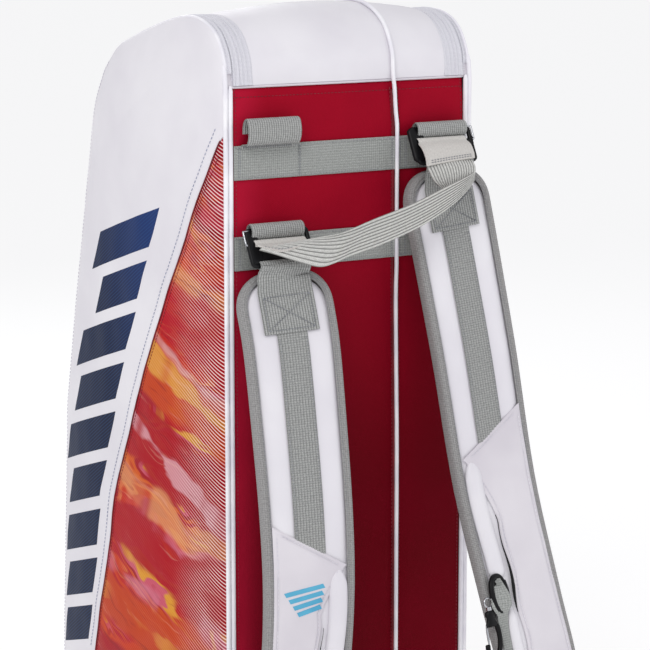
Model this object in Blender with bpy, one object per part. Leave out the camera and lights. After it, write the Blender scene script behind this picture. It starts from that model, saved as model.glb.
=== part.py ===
"""Racket backpack: a tall two-compartment racket bag that stands on its base.

Metres, +Z up.  Origin: middle of the base, on the ground.  The face that lies
against the wearer's back looks along -Y, the front gusset looks along +Y, and
+X is to the right of somebody looking at the back panel.
"""
import math

import bmesh
import bpy
from mathutils import Vector

for leftover in list(bpy.data.objects):
    bpy.data.objects.remove(leftover, do_unlink=True)

# ---------------------------------------------------------------- dimensions
SIDES = (("left", -1), ("right", 1))    # name of a side and the sign of its x

BACK_Y = -0.155         # outer face of the back panel
PANEL_TOP = 0.688       # upper edge of the back panel
DOME_FOOT_Z = 0.690     # where the dome starts above the back panel
TOP_Z = 0.7475          # highest point of the side profile
SHEET = 0.0025          # thickness of the coated fabric with its foam lining
BASE_R = 0.070          # radius of the lower front corner
HEEL_R = 0.020          # radius of the lower rear corner
GUSSET_HALF = 0.1110    # half width of the dome and front panels
DIVIDER_X = 0.047       # wall between the large and the small compartment
PIPING_R = 0.0018
TAPE_T = 0.0015         # thickness of the zip tapes

UPPER_BAND_Z = 0.623    # webbing bands across the back panel
LOWER_BAND_Z = 0.5435
LOOP_RISE = 0.020       # a loop's centre above the middle of its band
UPPER_LOOP_Z = UPPER_BAND_Z + LOOP_RISE
LOWER_LOOP_Z = LOWER_BAND_Z + LOOP_RISE
LEFT_LOOP_X = -0.086
RIGHT_LOOP_X = 0.088
LOOP_Y = -0.1665

RING_HANG = math.radians(26.0)   # the rings lean away from the panel
RING_LEN = 0.031                 # loop bar to strap bar
RING_MID = 0.0125                # loop bar to handle bar
RING_HALF = 0.0305               # half distance between the side bars
BAR_R = 0.0022                   # half thickness of the bars
HANG = Vector((0, -math.sin(RING_HANG), -math.cos(RING_HANG)))       # down the ring
RING_NORMAL = Vector((0, -math.cos(RING_HANG), math.sin(RING_HANG)))  # out of its plane


# ----------------------------------------------------------------- materials
def material(name, colour, roughness, metallic=0.0):
    """A plain material; the colour is given in display values."""
    made = bpy.data.materials.new(name)
    made.use_nodes = True
    shader = made.node_tree.nodes["Principled BSDF"]
    shader.inputs["Base Color"].default_value = (*[c ** 2.2 for c in colour], 1)
    shader.inputs["Roughness"].default_value = roughness
    shader.inputs["Metallic"].default_value = metallic
    return made


WHITE = material("white_coated_fabric", colour=(0.90, 0.89, 0.92), roughness=0.42)
RED = material("red_coated_fabric", colour=(0.55, 0.02, 0.11), roughness=0.45)
PRINT = material("printed_fabric", colour=(0.80, 0.16, 0.08), roughness=0.35)
WEBBING = material("grey_webbing", colour=(0.66, 0.67, 0.65), roughness=0.8)
PLASTIC = material("black_plastic", colour=(0.05, 0.05, 0.06), roughness=0.4)
CHROME = material("chrome_wire", colour=(0.8, 0.8, 0.82), roughness=0.15, metallic=1.0)
LINING = material("grey_lining", colour=(0.55, 0.56, 0.58), roughness=0.85)
ZIP_TAPE = material("zip_tape", colour=(0.83, 0.83, 0.86), roughness=0.6)


# ------------------------------------------------------- vectors and curves
def spread(first, last, steps):
    """Evenly spaced values from first to last, both included."""
    return [first + (last - first) * k / steps for k in range(steps + 1)]


def square_to(direction, axis):
    """The unit vector nearest to a direction that is square to a unit axis."""
    return (direction - axis * direction.dot(axis)).normalized()


def tangents(points, closed=False):
    """Unit directions along a line of points, each taken between its neighbours."""
    count = len(points)
    result = []
    for i in range(count):
        if closed:
            before, after = points[i - 1], points[(i + 1) % count]
        else:
            before, after = points[max(0, i - 1)], points[min(count - 1, i + 1)]
        result.append((after - before).normalized())
    return result


def spline(controls, steps):
    """Catmull-Rom curve through the control points."""
    knots = [Vector(c) for c in controls]
    knots = [2 * knots[0] - knots[1]] + knots + [2 * knots[-1] - knots[-2]]
    curve = []
    for i in range(1, len(knots) - 2):
        p0, p1, p2, p3 = knots[i - 1:i + 3]
        for k in range(steps):
            t = k / steps
            curve.append(0.5 * (2 * p1 + (p2 - p0) * t
                                + (2 * p0 - 5 * p1 + 4 * p2 - p3) * t * t
                                + (3 * p1 - p0 - 3 * p2 + p3) * t ** 3))
    curve.append(knots[-2].copy())
    return curve


def arc(y, z, radius_y, radius_z, degrees):
    """(y, z) points on an ellipse; a negative radius_y mirrors it in y."""
    return [(y + radius_y * math.cos(math.radians(d)), z + radius_z * math.sin(math.radians(d)))
            for d in degrees]


# ------------------------------------------------------------ mesh builders
def add_object(name, bm, mat, origin):
    """Writes a bmesh in world coordinates as an object with the given origin."""
    bmesh.ops.remove_doubles(bm, verts=bm.verts, dist=1e-6)
    bmesh.ops.recalc_face_normals(bm, faces=bm.faces)
    origin = Vector(origin)
    for vert in bm.verts:
        vert.co -= origin
    mesh = bpy.data.meshes.new(name)
    bm.to_mesh(mesh)
    bm.free()
    mesh.materials.append(mat)
    piece = bpy.data.objects.new(name, mesh)
    piece.location = origin
    bpy.context.scene.collection.objects.link(piece)


def loft(name, rings, mat, origin=(0, 0, 0), closed=False):
    """Skins rings with equal point counts; the ends are capped, or joined when closed."""
    bm = bmesh.new()
    verts = [[bm.verts.new(Vector(p)) for p in ring] for ring in rings]
    sides = len(verts[0])
    count = len(verts)
    for i in range(count if closed else count - 1):
        a, b = verts[i], verts[(i + 1) % count]
        for k in range(sides):
            after = (k + 1) % sides
            bm.faces.new((a[k], a[after], b[after], b[k]))
    if not closed:
        bm.faces.new(verts[0])
        bm.faces.new(list(reversed(verts[-1])))
    add_object(name, bm, mat, origin)


def sheet(name, front, back, mat, origin=(0, 0, 0)):
    """A closed sheet between two grids of points."""
    bm = bmesh.new()
    f = [[bm.verts.new(Vector(p)) for p in row] for row in front]
    b = [[bm.verts.new(Vector(p)) for p in row] for row in back]
    rows, columns = len(f), len(f[0])
    for i in range(rows - 1):
        for j in range(columns - 1):
            bm.faces.new((f[i][j], f[i][j + 1], f[i + 1][j + 1], f[i + 1][j]))
            bm.faces.new((b[i][j], b[i + 1][j], b[i + 1][j + 1], b[i][j + 1]))
    for j in range(columns - 1):
        bm.faces.new((f[0][j], b[0][j], b[0][j + 1], f[0][j + 1]))
        bm.faces.new((f[-1][j], f[-1][j + 1], b[-1][j + 1], b[-1][j]))
    for i in range(rows - 1):
        bm.faces.new((f[i][0], f[i + 1][0], b[i + 1][0], b[i][0]))
        bm.faces.new((f[i][-1], b[i][-1], b[i + 1][-1], f[i + 1][-1]))
    add_object(name, bm, mat, origin)


def extrude_x(name, section, x_low, x_high, mat, origin=(0, 0, 0)):
    """A (y, z) section extruded across the bag."""
    loft(name, [[(x, y, z) for y, z in section] for x in (x_low, x_high)], mat, origin)


def box(name, low, high, mat):
    section = [(low[1], low[2]), (high[1], low[2]), (high[1], high[2]), (low[1], high[2])]
    extrude_x(name, section, low[0], high[0], mat)


def rectangle(centre, side, half_width, normal, first, second):
    """Four corners: at the height first along the normal, then back at the height second."""
    return [centre + side * half_width + normal * first,
            centre - side * half_width + normal * first,
            centre - side * half_width + normal * second,
            centre + side * half_width + normal * second]


def ribbon(name, points, side, half_widths, half_thicknesses, mat, origin):
    """A flat strip along a line of points, its width laid as near to side as it can be."""
    rings = []
    for point, along, width, thickness in zip(points, tangents(points), half_widths,
                                              half_thicknesses):
        across = square_to(side, along)
        rings.append(rectangle(point, across, width, along.cross(across), thickness, -thickness))
    loft(name, rings, mat, origin)


def tube(name, points, radius, mat, origin=(0, 0, 0), closed=False, start=(1, 0, 0)):
    """A six-sided cord along a line of points; start is where its first corner lies."""
    points = [Vector(p) for p in points]
    rings = []
    across = Vector(start)
    for point, along in zip(points, tangents(points, closed)):
        across = square_to(across, along)
        other = along.cross(across)
        angles = [2 * math.pi * k / 6 for k in range(6)]
        rings.append([point + across * radius * math.cos(a) + other * radius * math.sin(a)
                      for a in angles])
    loft(name, rings, mat, origin, closed=closed)


def plate(name, centre, u_dir, u_values, v_dir, v_values, depth_dir, half_depth, windows, mat):
    """A plate of grid cells with some cells left open as windows."""
    bm = bmesh.new()
    grid = {}
    for s in (-1, 1):
        for i, u in enumerate(u_values):
            for j, v in enumerate(v_values):
                grid[s, i, j] = bm.verts.new(centre + u_dir * u + v_dir * v
                                             + depth_dir * (s * half_depth))
    solid = {(i, j) for i in range(len(u_values) - 1) for j in range(len(v_values) - 1)}
    solid -= windows
    for i, j in solid:
        corners = [(i, j), (i + 1, j), (i + 1, j + 1), (i, j + 1)]
        for s in (-1, 1):
            bm.faces.new([grid[(s, *corner)] for corner in corners])
        neighbours = [(i, j - 1), (i + 1, j), (i, j + 1), (i - 1, j)]
        for k, neighbour in enumerate(neighbours):
            if neighbour not in solid:
                a, b = corners[k], corners[(k + 1) % 4]
                bm.faces.new([grid[(-1, *a)], grid[(-1, *b)], grid[(1, *b)], grid[(1, *a)]])
    add_object(name, bm, mat, centre)


# ------------------------------------------------------------- side profile
# Profile points are 2D vectors: their x is the bag's y, their y is the height z.
FRONT_TOP = Vector((0.151, 0.3634))       # the front is straight between these points
FRONT_LOW = Vector((0.168, 0.110))
DOME_END = (0.066, 0.6910)                # where the dome meets the front
# (y, z) over the dome, from the back panel to the front
DOME_POINTS = [
    (BACK_Y, DOME_FOOT_Z), (-0.150, 0.716), (-0.132, 0.738), (-0.098, TOP_Z),
    (-0.050, 0.7410), (0.010, 0.7245), (0.042, 0.7120), DOME_END,
]
# (y, z) down the upper, curved part of the front
FRONT_POINTS = [DOME_END, (0.085, 0.655), (0.097, 0.600), (0.124, 0.485), tuple(FRONT_TOP)]

FRONT_DOWN = (FRONT_LOW - FRONT_TOP).normalized()        # runs down the straight front
FRONT_OUT = Vector((-FRONT_DOWN.y, FRONT_DOWN.x))        # points out of the front


def lower_front_corner():
    """Arc below the straight front, stretched in height so that it ends on the ground."""
    centre = FRONT_LOW - FRONT_OUT * BASE_R
    first = math.atan2(FRONT_OUT.y, FRONT_OUT.x)
    corner = [centre + Vector((math.cos(a), math.sin(a))) * BASE_R
              for a in spread(first, -math.pi / 2, 5)[1:]]
    end_z = corner[-1].y
    for point in corner:
        point.y -= end_z * (FRONT_LOW.y - point.y) / (FRONT_LOW.y - end_z)
    return corner


dome_curve = spline(DOME_POINTS, 2)
front_curve = spline(FRONT_POINTS, 2) + [FRONT_LOW.copy()] + lower_front_corner()
heel_curve = [Vector((BACK_Y + HEEL_R * (1 - math.cos(a)), HEEL_R * (1 - math.sin(a))))
              for a in spread(0, math.pi / 2, 3)]
outline = dome_curve + front_curve[1:]
summit = max(range(len(outline)), key=lambda i: outline[i].y)
rising_curve, falling_curve = outline[:summit + 1], outline[summit:]


def y_at(curve, z):
    """y where a curve that falls or rises steadily has the height z, or y of its nearer end."""
    for p, q in zip(curve, curve[1:]):
        if (p.y - z) * (q.y - z) <= 0 and p.y != q.y:
            return p.x + (q.x - p.x) * (z - p.y) / (q.y - p.y)
    return min(curve[0], curve[-1], key=lambda end: abs(end.y - z)).x


def y_front(z):
    return y_at(falling_curve, z)


def y_back(z):
    if z >= DOME_FOOT_Z:
        return y_at(rising_curve, z)
    if z < HEEL_R:
        return BACK_Y + HEEL_R - math.sqrt(HEEL_R ** 2 - (HEEL_R - z) ** 2)
    return BACK_Y


def outward_normals(curve):
    """Outward unit normals along a curve that runs from the back over the top and down."""
    return [Vector((-t.y, t.x)) for t in tangents(curve)]


def crown_rise(crown, x, half):
    """Height at x of a crown that falls to nothing at the half width."""
    return crown * (1 - (x / half) ** 2)


def swept_sheet(name, curve, columns, crown, thickness, mat, origin=(0, 0, 0)):
    """A sheet along a profile curve; crown is one height or a list with one per point."""
    crowns = crown if isinstance(crown, list) else [crown] * len(curve)
    half = max(abs(x) for x in columns)
    outer, inner = [], []
    for point, normal, height in zip(curve, outward_normals(curve), crowns):
        raised = [(x, crown_rise(height, x, half)) for x in columns]
        outer.append([(x, *(point + normal * rise)) for x, rise in raised])
        inner.append([(x, *(point + normal * (rise - thickness))) for x, rise in raised])
    sheet(name, outer, inner, mat, origin)


# -------------------------------------------------------------- fixed shell
FRONT_CROWN = 0.006
DOME_LAST = len(dome_curve) - 1
# The dome's crown grows over five points from the back panel and drops over the last four.
DOME_CROWNS = [0.0008 + 0.0092 * min(1.0, i / 5.0) - 0.004 * max(0.0, (i - DOME_LAST + 4) / 4.0)
               for i in range(DOME_LAST + 1)]
BOTTOM_HALF = 0.1215
BACK_HALF = 0.1222
# (y, z) up the back panel; its upper edge leans in towards the dome
BACK_PANEL_POINTS = [
    (BACK_Y, 0.0125), (BACK_Y, 0.30), (BACK_Y, 0.662),
    (BACK_Y + 0.0008, 0.678), (BACK_Y + 0.0020, PANEL_TOP - 0.0005),
]
DIVIDER_T = 0.0015
# (z, clearance to the back, clearance to the front)
DIVIDER_ROWS = [(0.0045, 0.0142, 0.030)] + [
    (z, 0.0062, 0.0080)
    for z in (0.03, 0.08, 0.20, 0.3634, 0.50, 0.60, 0.66, 0.69, 0.712, 0.730, 0.7385)]
PIPING_LIFT = 0.0024    # centre of the cord above the dome
# (x, y, z) of the centre cord down the back panel
PIPING_DOWN_BACK = [
    (DIVIDER_X - 0.003, BACK_Y - 0.0028, 0.69), (DIVIDER_X, BACK_Y - 0.0040, 0.65),
    (DIVIDER_X, BACK_Y - 0.0040, 0.50), (DIVIDER_X + 0.002, BACK_Y - 0.0028, 0.35),
    (DIVIDER_X + 0.002, BACK_Y - 0.0028, 0.03),
]
EDGE_PIPING_X = 0.1246
BODY_TAPE_X = (0.1115, 0.1205)


def build_gusset():
    """The dome and the front panel, crowned across the bag."""
    columns = spread(-GUSSET_HALF, GUSSET_HALF, 6)
    swept_sheet("dome_panel", dome_curve, columns, DOME_CROWNS, SHEET, WHITE)
    curve = [front_curve[0].lerp(front_curve[1], 0.08)] + front_curve[1:-1]
    swept_sheet("front_panel", curve, columns, FRONT_CROWN, SHEET, WHITE)


def build_bottom():
    """The base, from the end of the front corner to the heel."""
    curve = [front_curve[-2].lerp(front_curve[-1], 0.10), front_curve[-1]] + heel_curve[:0:-1]
    swept_sheet("bottom_panel", curve, [-BOTTOM_HALF, BOTTOM_HALF], 0.0, SHEET, LINING)


def build_back():
    outer, inner = [[[(x, y + depth, z) for x in (-BACK_HALF, BACK_HALF)]
                     for y, z in BACK_PANEL_POINTS] for depth in (0.0, SHEET)]
    sheet("back_panel", outer, inner, RED)


def build_divider():
    """Inner wall between the two compartments."""
    left, right = [[[(x, y_back(z) + back, z), (x, y_front(z) - front, z)]
                    for z, back, front in DIVIDER_ROWS] for x in (DIVIDER_X, DIVIDER_X + DIVIDER_T)]
    sheet("divider", left, right, LINING)


def build_center_piping():
    """White cord over the dome and down the back panel, along the divider."""
    points = []
    for point, normal, crown in zip(dome_curve, outward_normals(dome_curve), DOME_CROWNS):
        lift = crown_rise(crown, DIVIDER_X, GUSSET_HALF) + PIPING_LIFT
        points.append((DIVIDER_X - 0.004, *(point + normal * lift)))
    tube("center_piping", points[:0:-1] + PIPING_DOWN_BACK, PIPING_R, WHITE)


def build_edges(side, sign):
    """Cord along the upright edge of the back panel and the body half of the zip."""
    points = [(sign * EDGE_PIPING_X, BACK_Y + 0.0002, z) for z in (0.022, 0.35, 0.687)]
    tube(f"{side}_edge_piping", points, PIPING_R, WHITE)
    columns = sorted(sign * x for x in BODY_TAPE_X)
    swept_sheet(f"{side}_zip_tape", dome_curve + front_curve[1:-2], columns, 0.0, TAPE_T,
                ZIP_TAPE)


build_gusset()
build_bottom()
build_back()
build_divider()
build_center_piping()
for side, sign in SIDES:
    build_edges(side, sign)

# --------------------------------------------------------------------- lids
HINGE = (0.1275, -0.1580, 0.35)     # origin of the right lid's pieces
LID_X = 0.1272          # inner face of a lid at its rim
LID_T = 0.0022
BULGE = 0.022           # how far the side panels stand out
RIM_GAP = 0.0006        # clearance to the outline
SEAM_GAP = 0.0004       # clearance to the seam between print and white
LID_TAPE_X = (0.1225, 0.1266)
# (y, z) down the seam between the printed panel at the back and the white one
SEAM = [Vector(p) for p in (
    (BACK_Y, 0.650), (-0.110, 0.555), (-0.027, 0.397), (0.0185, 0.296),
    (0.0365, 0.229), (0.070, 0.132), (0.110, 0.0))]
SEAM_ROWS = (0.006, 0.03, 0.07, 0.132, 0.229, 0.296, 0.397, 0.50, 0.575, 0.640)
TOP_ROWS = (0.6508, 0.675, 0.700, 0.720, 0.733, 0.742, 0.7462)


def lid_bulge(y, z):
    """How far a side panel stands out of its rim at (y, z)."""
    back, front = y_back(z), y_front(z)
    depth = (y - back) / (front - back)
    height = z / TOP_Z
    return BULGE * (4 * depth * (1 - depth)) ** 0.6 * (1 - (2 * height - 1) ** 6)


def lid_sheet(name, sign, rows, mat, origin):
    """A bulged panel; each row is (z, y at the back, y at the front)."""
    outer, inner = [], []
    for z, y_first, y_last in rows:
        points = [(LID_X + lid_bulge(y, z), y) for y in spread(y_first, y_last, 4)]
        outer.append([(sign * (x + LID_T), y, z) for x, y in points])
        inner.append([(sign * x, y, z) for x, y in points])
    sheet(name, outer, inner, mat, origin)


def build_lid(side, sign):
    origin = (sign * HINGE[0], HINGE[1], HINGE[2])
    white = [(z, y_at(SEAM, z) + SEAM_GAP, y_front(z) - RIM_GAP) for z in SEAM_ROWS]
    white += [(z, y_back(z) + RIM_GAP, y_front(z) - RIM_GAP) for z in TOP_ROWS]
    lid_sheet(f"{side}_side_panel", sign, white, WHITE, origin)
    printed = [(z, y_back(z) + RIM_GAP, y_at(SEAM, z) - SEAM_GAP) for z in SEAM_ROWS]
    lid_sheet(f"{side}_print_panel", sign, printed, PRINT, origin)
    columns = sorted(sign * x for x in LID_TAPE_X)
    swept_sheet(f"{side}_lid_tape", dome_curve[1:] + front_curve[1:-2], columns, 0.0, TAPE_T,
                ZIP_TAPE, origin)


for side, sign in SIDES:
    build_lid(side, sign)

# ---------------------------------------------------------- bands and loops
BAND_HALF = 0.1218      # half length of a band
BAND_H = 0.030
BAND_NEAR, BAND_FAR = 0.0004, 0.0021      # faces of a band, out from the back panel
LOOP_W = 0.054
LOOP_R = 0.0058         # how far a full loop reaches out from its centre
LOOP_HALF_H = 0.0072
LOOP_T = 0.0016         # webbing thickness round the loop
TAIL_T = 0.0012         # and at the foot of its tail
TAIL_DROP = 0.016


def build_band(name, z):
    box(name, (-BAND_HALF, BACK_Y - BAND_FAR, z - BAND_H / 2),
        (BAND_HALF, BACK_Y - BAND_NEAR, z + BAND_H / 2), WEBBING)


def build_loop(name, x, z, fill=1.0, half_height=LOOP_HALF_H):
    """Webbing that curls from below round its outer side and over the top, then runs down
    onto its band; fill below one presses the loop towards the panel."""
    y = BACK_Y + (LOOP_Y - BACK_Y) * (0.45 + 0.55 * fill)
    radius = LOOP_R * fill
    tail_y = BACK_Y - 0.0025
    degrees = spread(-100, 190, 8)
    outer = arc(y, z, -radius, half_height, degrees)
    inner = arc(y, z, -(radius - LOOP_T), half_height - LOOP_T, degrees)
    outer.append((tail_y, z - TAIL_DROP))
    inner.append((tail_y - TAIL_T, z - TAIL_DROP))
    extrude_x(name, outer + inner[::-1], x - LOOP_W / 2, x + LOOP_W / 2, WEBBING)


build_band("upper_band", UPPER_BAND_Z)
build_band("lower_band", LOWER_BAND_Z)
# the upper left loop carries no ring and stands taller
build_loop("loop_upper_left", LEFT_LOOP_X - 0.0030, UPPER_LOOP_Z + 0.0075, half_height=0.0118)
build_loop("loop_lower_left", LEFT_LOOP_X, LOWER_LOOP_Z)
build_loop("loop_upper_right", RIGHT_LOOP_X, UPPER_LOOP_Z)
build_loop("loop_lower_right", RIGHT_LOOP_X, LOWER_LOOP_Z, fill=0.60)

# ------------------------------------------------- rings and folded webbing
FOLD_R = 0.0037         # inner radius of webbing folded round a bar
FOLD_T = 0.0012
HANDLE_END_HALF = 0.0225
STRAP_LOOP_HALF = 0.0255
# (y, z) from the bar, along the outer and the inner face of the tail
HANDLE_TAIL_OUTER = [(-0.0225, -0.0090), (-0.0282, -0.0190)]
HANDLE_TAIL_INNER = [(-0.0215, -0.0103), (-0.0268, -0.0195)]
STRAP_TAIL_OUTER = [(-FOLD_R - FOLD_T, -0.0045)]
STRAP_TAIL_INNER = [(-FOLD_R, -0.0045)]


def build_ring(name, loop_bar):
    """Rectangular ring with a cross bar, hung in a loop by its upper bar."""
    slim = BAR_R * 0.9      # half height of the cross bar
    across = (-RING_HALF - BAR_R, -RING_HALF + BAR_R, RING_HALF - BAR_R, RING_HALF + BAR_R)
    down = (-BAR_R, BAR_R, RING_MID - slim, RING_MID + slim, RING_LEN - BAR_R, RING_LEN + BAR_R)
    plate(name, loop_bar, Vector((1, 0, 0)), across, HANG, down, RING_NORMAL, BAR_R,
          {(1, 1), (1, 3)}, PLASTIC)


def build_fold(name, bar, half, tail_outer, tail_inner):
    """Webbing from behind a bar, over it to its outer side, and on along its tail."""
    degrees = range(-60, 181, 40)
    outer = arc(bar.y, bar.z, FOLD_R + FOLD_T, FOLD_R + FOLD_T, degrees)
    inner = arc(bar.y, bar.z, FOLD_R, FOLD_R, degrees)
    outer += [(bar.y + y, bar.z + z) for y, z in tail_outer]
    inner += [(bar.y + y, bar.z + z) for y, z in tail_inner]
    extrude_x(name, outer + inner[::-1], bar.x - half, bar.x + half, WEBBING, bar)


LOOP_BARS = {
    "left": Vector((LEFT_LOOP_X, LOOP_Y, LOWER_LOOP_Z)),
    "right": Vector((RIGHT_LOOP_X, LOOP_Y, UPPER_LOOP_Z)),
}
for side, loop_bar in LOOP_BARS.items():
    build_ring(f"{side}_ring", loop_bar)
    build_fold(f"handle_{side}_end", loop_bar + HANG * RING_MID, HANDLE_END_HALF,
               HANDLE_TAIL_OUTER, HANDLE_TAIL_INNER)
    build_fold(f"{side}_strap_loop", loop_bar + HANG * RING_LEN, STRAP_LOOP_HALF,
               STRAP_TAIL_OUTER, STRAP_TAIL_INNER)

# -------------------------------------------------------------- grab handle
GRAB_HALF_W = 0.016
GRAB_HALF_T = 0.0011
GRAB_TAPER = [0.012, 0.0135]      # half widths from either end inwards
# (x, y, z) from the left ring to the right ring
GRAB_POINTS = [
    (-0.078, -0.2040, 0.5520), (-0.045, -0.2080, 0.5540), (0.005, -0.2140, 0.5690),
    (0.050, -0.2150, 0.5860), (0.092, -0.2100, 0.5970),
]


def build_grab_handle():
    """Carry handle between the two rings."""
    points = spline(GRAB_POINTS, 2)
    half_widths = GRAB_TAPER + [GRAB_HALF_W] * (len(points) - 4) + GRAB_TAPER[::-1]
    ribbon("grab_handle", points, Vector((0, 0, 1)), half_widths, [GRAB_HALF_T] * len(points),
           WEBBING, LOOP_BARS["left"] + HANG * RING_MID)


build_grab_handle()

# ---------------------------------------------------------- shoulder straps
PAD_T = 0.011
PAD_HALF = 0.044        # half width at the head, with the binding
PAD_NARROWING = 0.0045  # lost from the half width towards the foot
PAD_BEVEL = 0.0025
HEAD_LEN, FOOT_LEN = 0.036, 0.030      # lengths of the rounded ends
BINDING_W = 0.0050
BINDING_LIFT = 0.0004   # binding proud of the pad on both faces
GAP = 0.0005            # clearance between the pad and its binding
TAB_STATIONS = [0.0070, 0.020, 0.034, 0.048]
TAB_HALF = 0.0255
STRAP_WEB_START = 0.0488
STRAP_WEB_HALF = 0.0135
COVER_S = 0.243         # distance down the strap to the middle of the cover's upper edge
COVER_SLOPE = 0.020     # rise and fall of that edge about its middle
COVER_END = 0.036       # from the cover's lower edge to the strap's end
DRING_S = 0.388         # distance down the strap to the oval ring
DRING_W = 0.0285        # and its place across the strap
DRING_HALF_LEN, DRING_HALF_W = 0.0165, 0.0095
DRING_WIRE_R = 0.0018
HOOK_HALF_T = 0.0018
# (distance along the hook, half width)
HOOK_STATIONS = [
    (0.0, 0.0016), (0.007, 0.0018), (0.010, 0.0045),
    (0.030, 0.0060), (0.044, 0.0055), (0.052, 0.0025),
]
HOOK_DRIFT = 0.0050     # sideways run of the hook over its length
LOWER_WEB_HALF = 0.0125
LOWER_WEB_HALF_T = 0.0008
ANCHOR_X = 0.098
ADJUSTER_HALF_LEN = 0.0100

# (x, y, z) down the strap, and the angle its width is turned by about Z
STRAP_PATHS = {
    "left": ([(-0.086, -0.1738, 0.5292), (-0.086, -0.1840, 0.503), (-0.086, -0.1960, 0.465),
              (-0.086, -0.2070, 0.405), (-0.086, -0.2190, 0.325), (-0.086, -0.2240, 0.256),
              (-0.086, -0.2200, 0.190), (-0.087, -0.2100, 0.130), (-0.088, -0.1960, 0.080)],
             math.radians(13.0)),
    "right": ([(0.088, -0.1738, 0.6087), (0.0895, -0.1790, 0.585), (0.0935, -0.1870, 0.545),
               (0.0970, -0.1950, 0.506), (0.103, -0.2090, 0.436), (0.112, -0.2280, 0.326),
               (0.121, -0.2570, 0.227), (0.1265, -0.2790, 0.160), (0.1285, -0.2840, 0.108)],
              math.radians(3.5)),
}


def round_end(beyond):
    """Falls from one to zero as beyond runs from zero to one."""
    return math.sqrt(max(0.0, 1 - beyond ** 2.4))


class Strap:
    """The frame of one strap: distance along it, distance across it towards +X, and height
    above its outer face, which looks away from the bag."""

    def __init__(self, side, sign):
        controls, yaw = STRAP_PATHS[side]
        self.side = side
        self.sign = sign
        self.inner = -sign        # sign across the strap towards the middle of the bag
        self.origin = LOOP_BARS[side] + HANG * RING_LEN
        self.points = spline(controls, 6)
        self.distances = [0.0]
        for a, b in zip(self.points, self.points[1:]):
            self.distances.append(self.distances[-1] + (b - a).length)
        self.length = self.distances[-1]
        self.width_dir = Vector((math.cos(yaw), -math.sin(yaw), 0))

    def at(self, along, across, height):
        points, distances = self.points, self.distances
        along = min(max(along, 0.0), self.length)
        i = 0
        while i < len(distances) - 2 and distances[i + 1] < along:
            i += 1
        share = (along - distances[i]) / (distances[i + 1] - distances[i])
        centre = points[i].lerp(points[i + 1], share)
        first = (points[i + 1] - points[max(0, i - 1)]).normalized()
        second = (points[min(len(points) - 1, i + 2)] - points[i]).normalized()
        tangent = (first * (1 - share) + second * share).normalized()
        lateral = square_to(self.width_dir, tangent)
        return centre + lateral * across + tangent.cross(lateral) * height

    def half_width(self, along):
        """Half width with a round head and a round foot, slightly narrower low down."""
        half = PAD_HALF - PAD_NARROWING * along / self.length
        foot_start = self.length - FOOT_LEN
        if along < HEAD_LEN:
            half *= round_end((HEAD_LEN - along) / HEAD_LEN) * 0.72 + 0.28
        if along > foot_start:
            half *= round_end((along - foot_start) / FOOT_LEN) * 0.65 + 0.35
        return half

    def stations(self):
        """Distances along the strap, closer together at both ends."""
        end = self.length
        return ([0.0, 0.006, 0.014, 0.025, 0.040] + spread(0.040, end - 0.035, 9)[1:-1]
                + [end - 0.030, end - 0.017, end - 0.008, end])

    def inset(self, along, margin):
        """A distance along the strap, squeezed to leave a margin at both ends."""
        return margin + (self.length - 2 * margin) * along / self.length


def build_pad(strap):
    rings = []
    margin = BINDING_W + GAP
    for station in strap.stations():
        half = strap.half_width(station) - margin
        flat = half * 0.93
        section = [(-half, -PAD_BEVEL), (-flat, 0.0), (flat, 0.0), (half, -PAD_BEVEL),
                   (half, -PAD_T + PAD_BEVEL), (flat, -PAD_T), (-flat, -PAD_T),
                   (-half, -PAD_T + PAD_BEVEL)]
        along = strap.inset(station, margin)
        rings.append([strap.at(along, across, height) for across, height in section])
    loft(f"{strap.side}_strap_pad", rings, WHITE, strap.origin)


def build_binding(strap):
    """Tape round the edge of the pad: down its +X edge and back up the other."""
    stations = strap.stations()
    rim = [(s, 1) for s in stations] + [(s, -1) for s in reversed(stations)]
    top, bottom = BINDING_LIFT, -PAD_T - BINDING_LIFT
    rings = []
    for station, edge in rim:
        half = strap.half_width(station)
        outer = (station, edge * half)
        inner = (strap.inset(station, BINDING_W), edge * (half - BINDING_W))
        rings.append([strap.at(*outer, top), strap.at(*outer, bottom),
                      strap.at(*inner, bottom), strap.at(*inner, top)])
    loft(f"{strap.side}_strap_binding", rings, WEBBING, strap.origin, closed=True)


def build_strip(strap, name, stations, half, low, high):
    """Webbing sewn on the outer face, between two heights above it."""
    top, bottom = [[[strap.at(s, across, height) for across in (-half, half)]
                    for s in stations] for height in (high, low)]
    sheet(f"{strap.side}_{name}", top, bottom, WEBBING, strap.origin)


def build_strap_webbing(strap):
    """The tab below the ring and the webbing from it down to the cover."""
    build_strip(strap, "strap_tab", TAB_STATIONS, TAB_HALF, low=0.0008, high=0.0030)
    end = COVER_S - COVER_SLOPE * 0.35 - 0.0030
    build_strip(strap, "strap_webbing", spread(STRAP_WEB_START, end, 8), STRAP_WEB_HALF,
                low=0.0005, high=0.0020)


def build_cover(strap):
    """Lower cover; its slanted upper edge is highest on the side away from the middle."""
    outer_edge = -strap.inner * (strap.half_width(COVER_S) - BINDING_W - 0.0015)
    top, bottom = [], []
    for k in range(8):
        # the inner edge cuts in over two rows and widens again over the last three
        cut = 0.0240 * min(1.0, k / 2.0) ** 0.7
        inner_edge = strap.inner * (0.0330 - cut + 0.0030 * max(0.0, (k - 4) / 3.0))
        places = []
        for share in spread(0.0, 1.0, 3):
            first = COVER_S - COVER_SLOPE + 2 * COVER_SLOPE * share
            along = first + (strap.length - COVER_END - first) * k / 7
            places.append((along, outer_edge + (inner_edge - outer_edge) * share))
        top.append([strap.at(*place, 0.0034) for place in places])
        bottom.append([strap.at(*place, 0.0012) for place in places])
    sheet(f"{strap.side}_strap_cover", top, bottom, WHITE, strap.origin)


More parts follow.
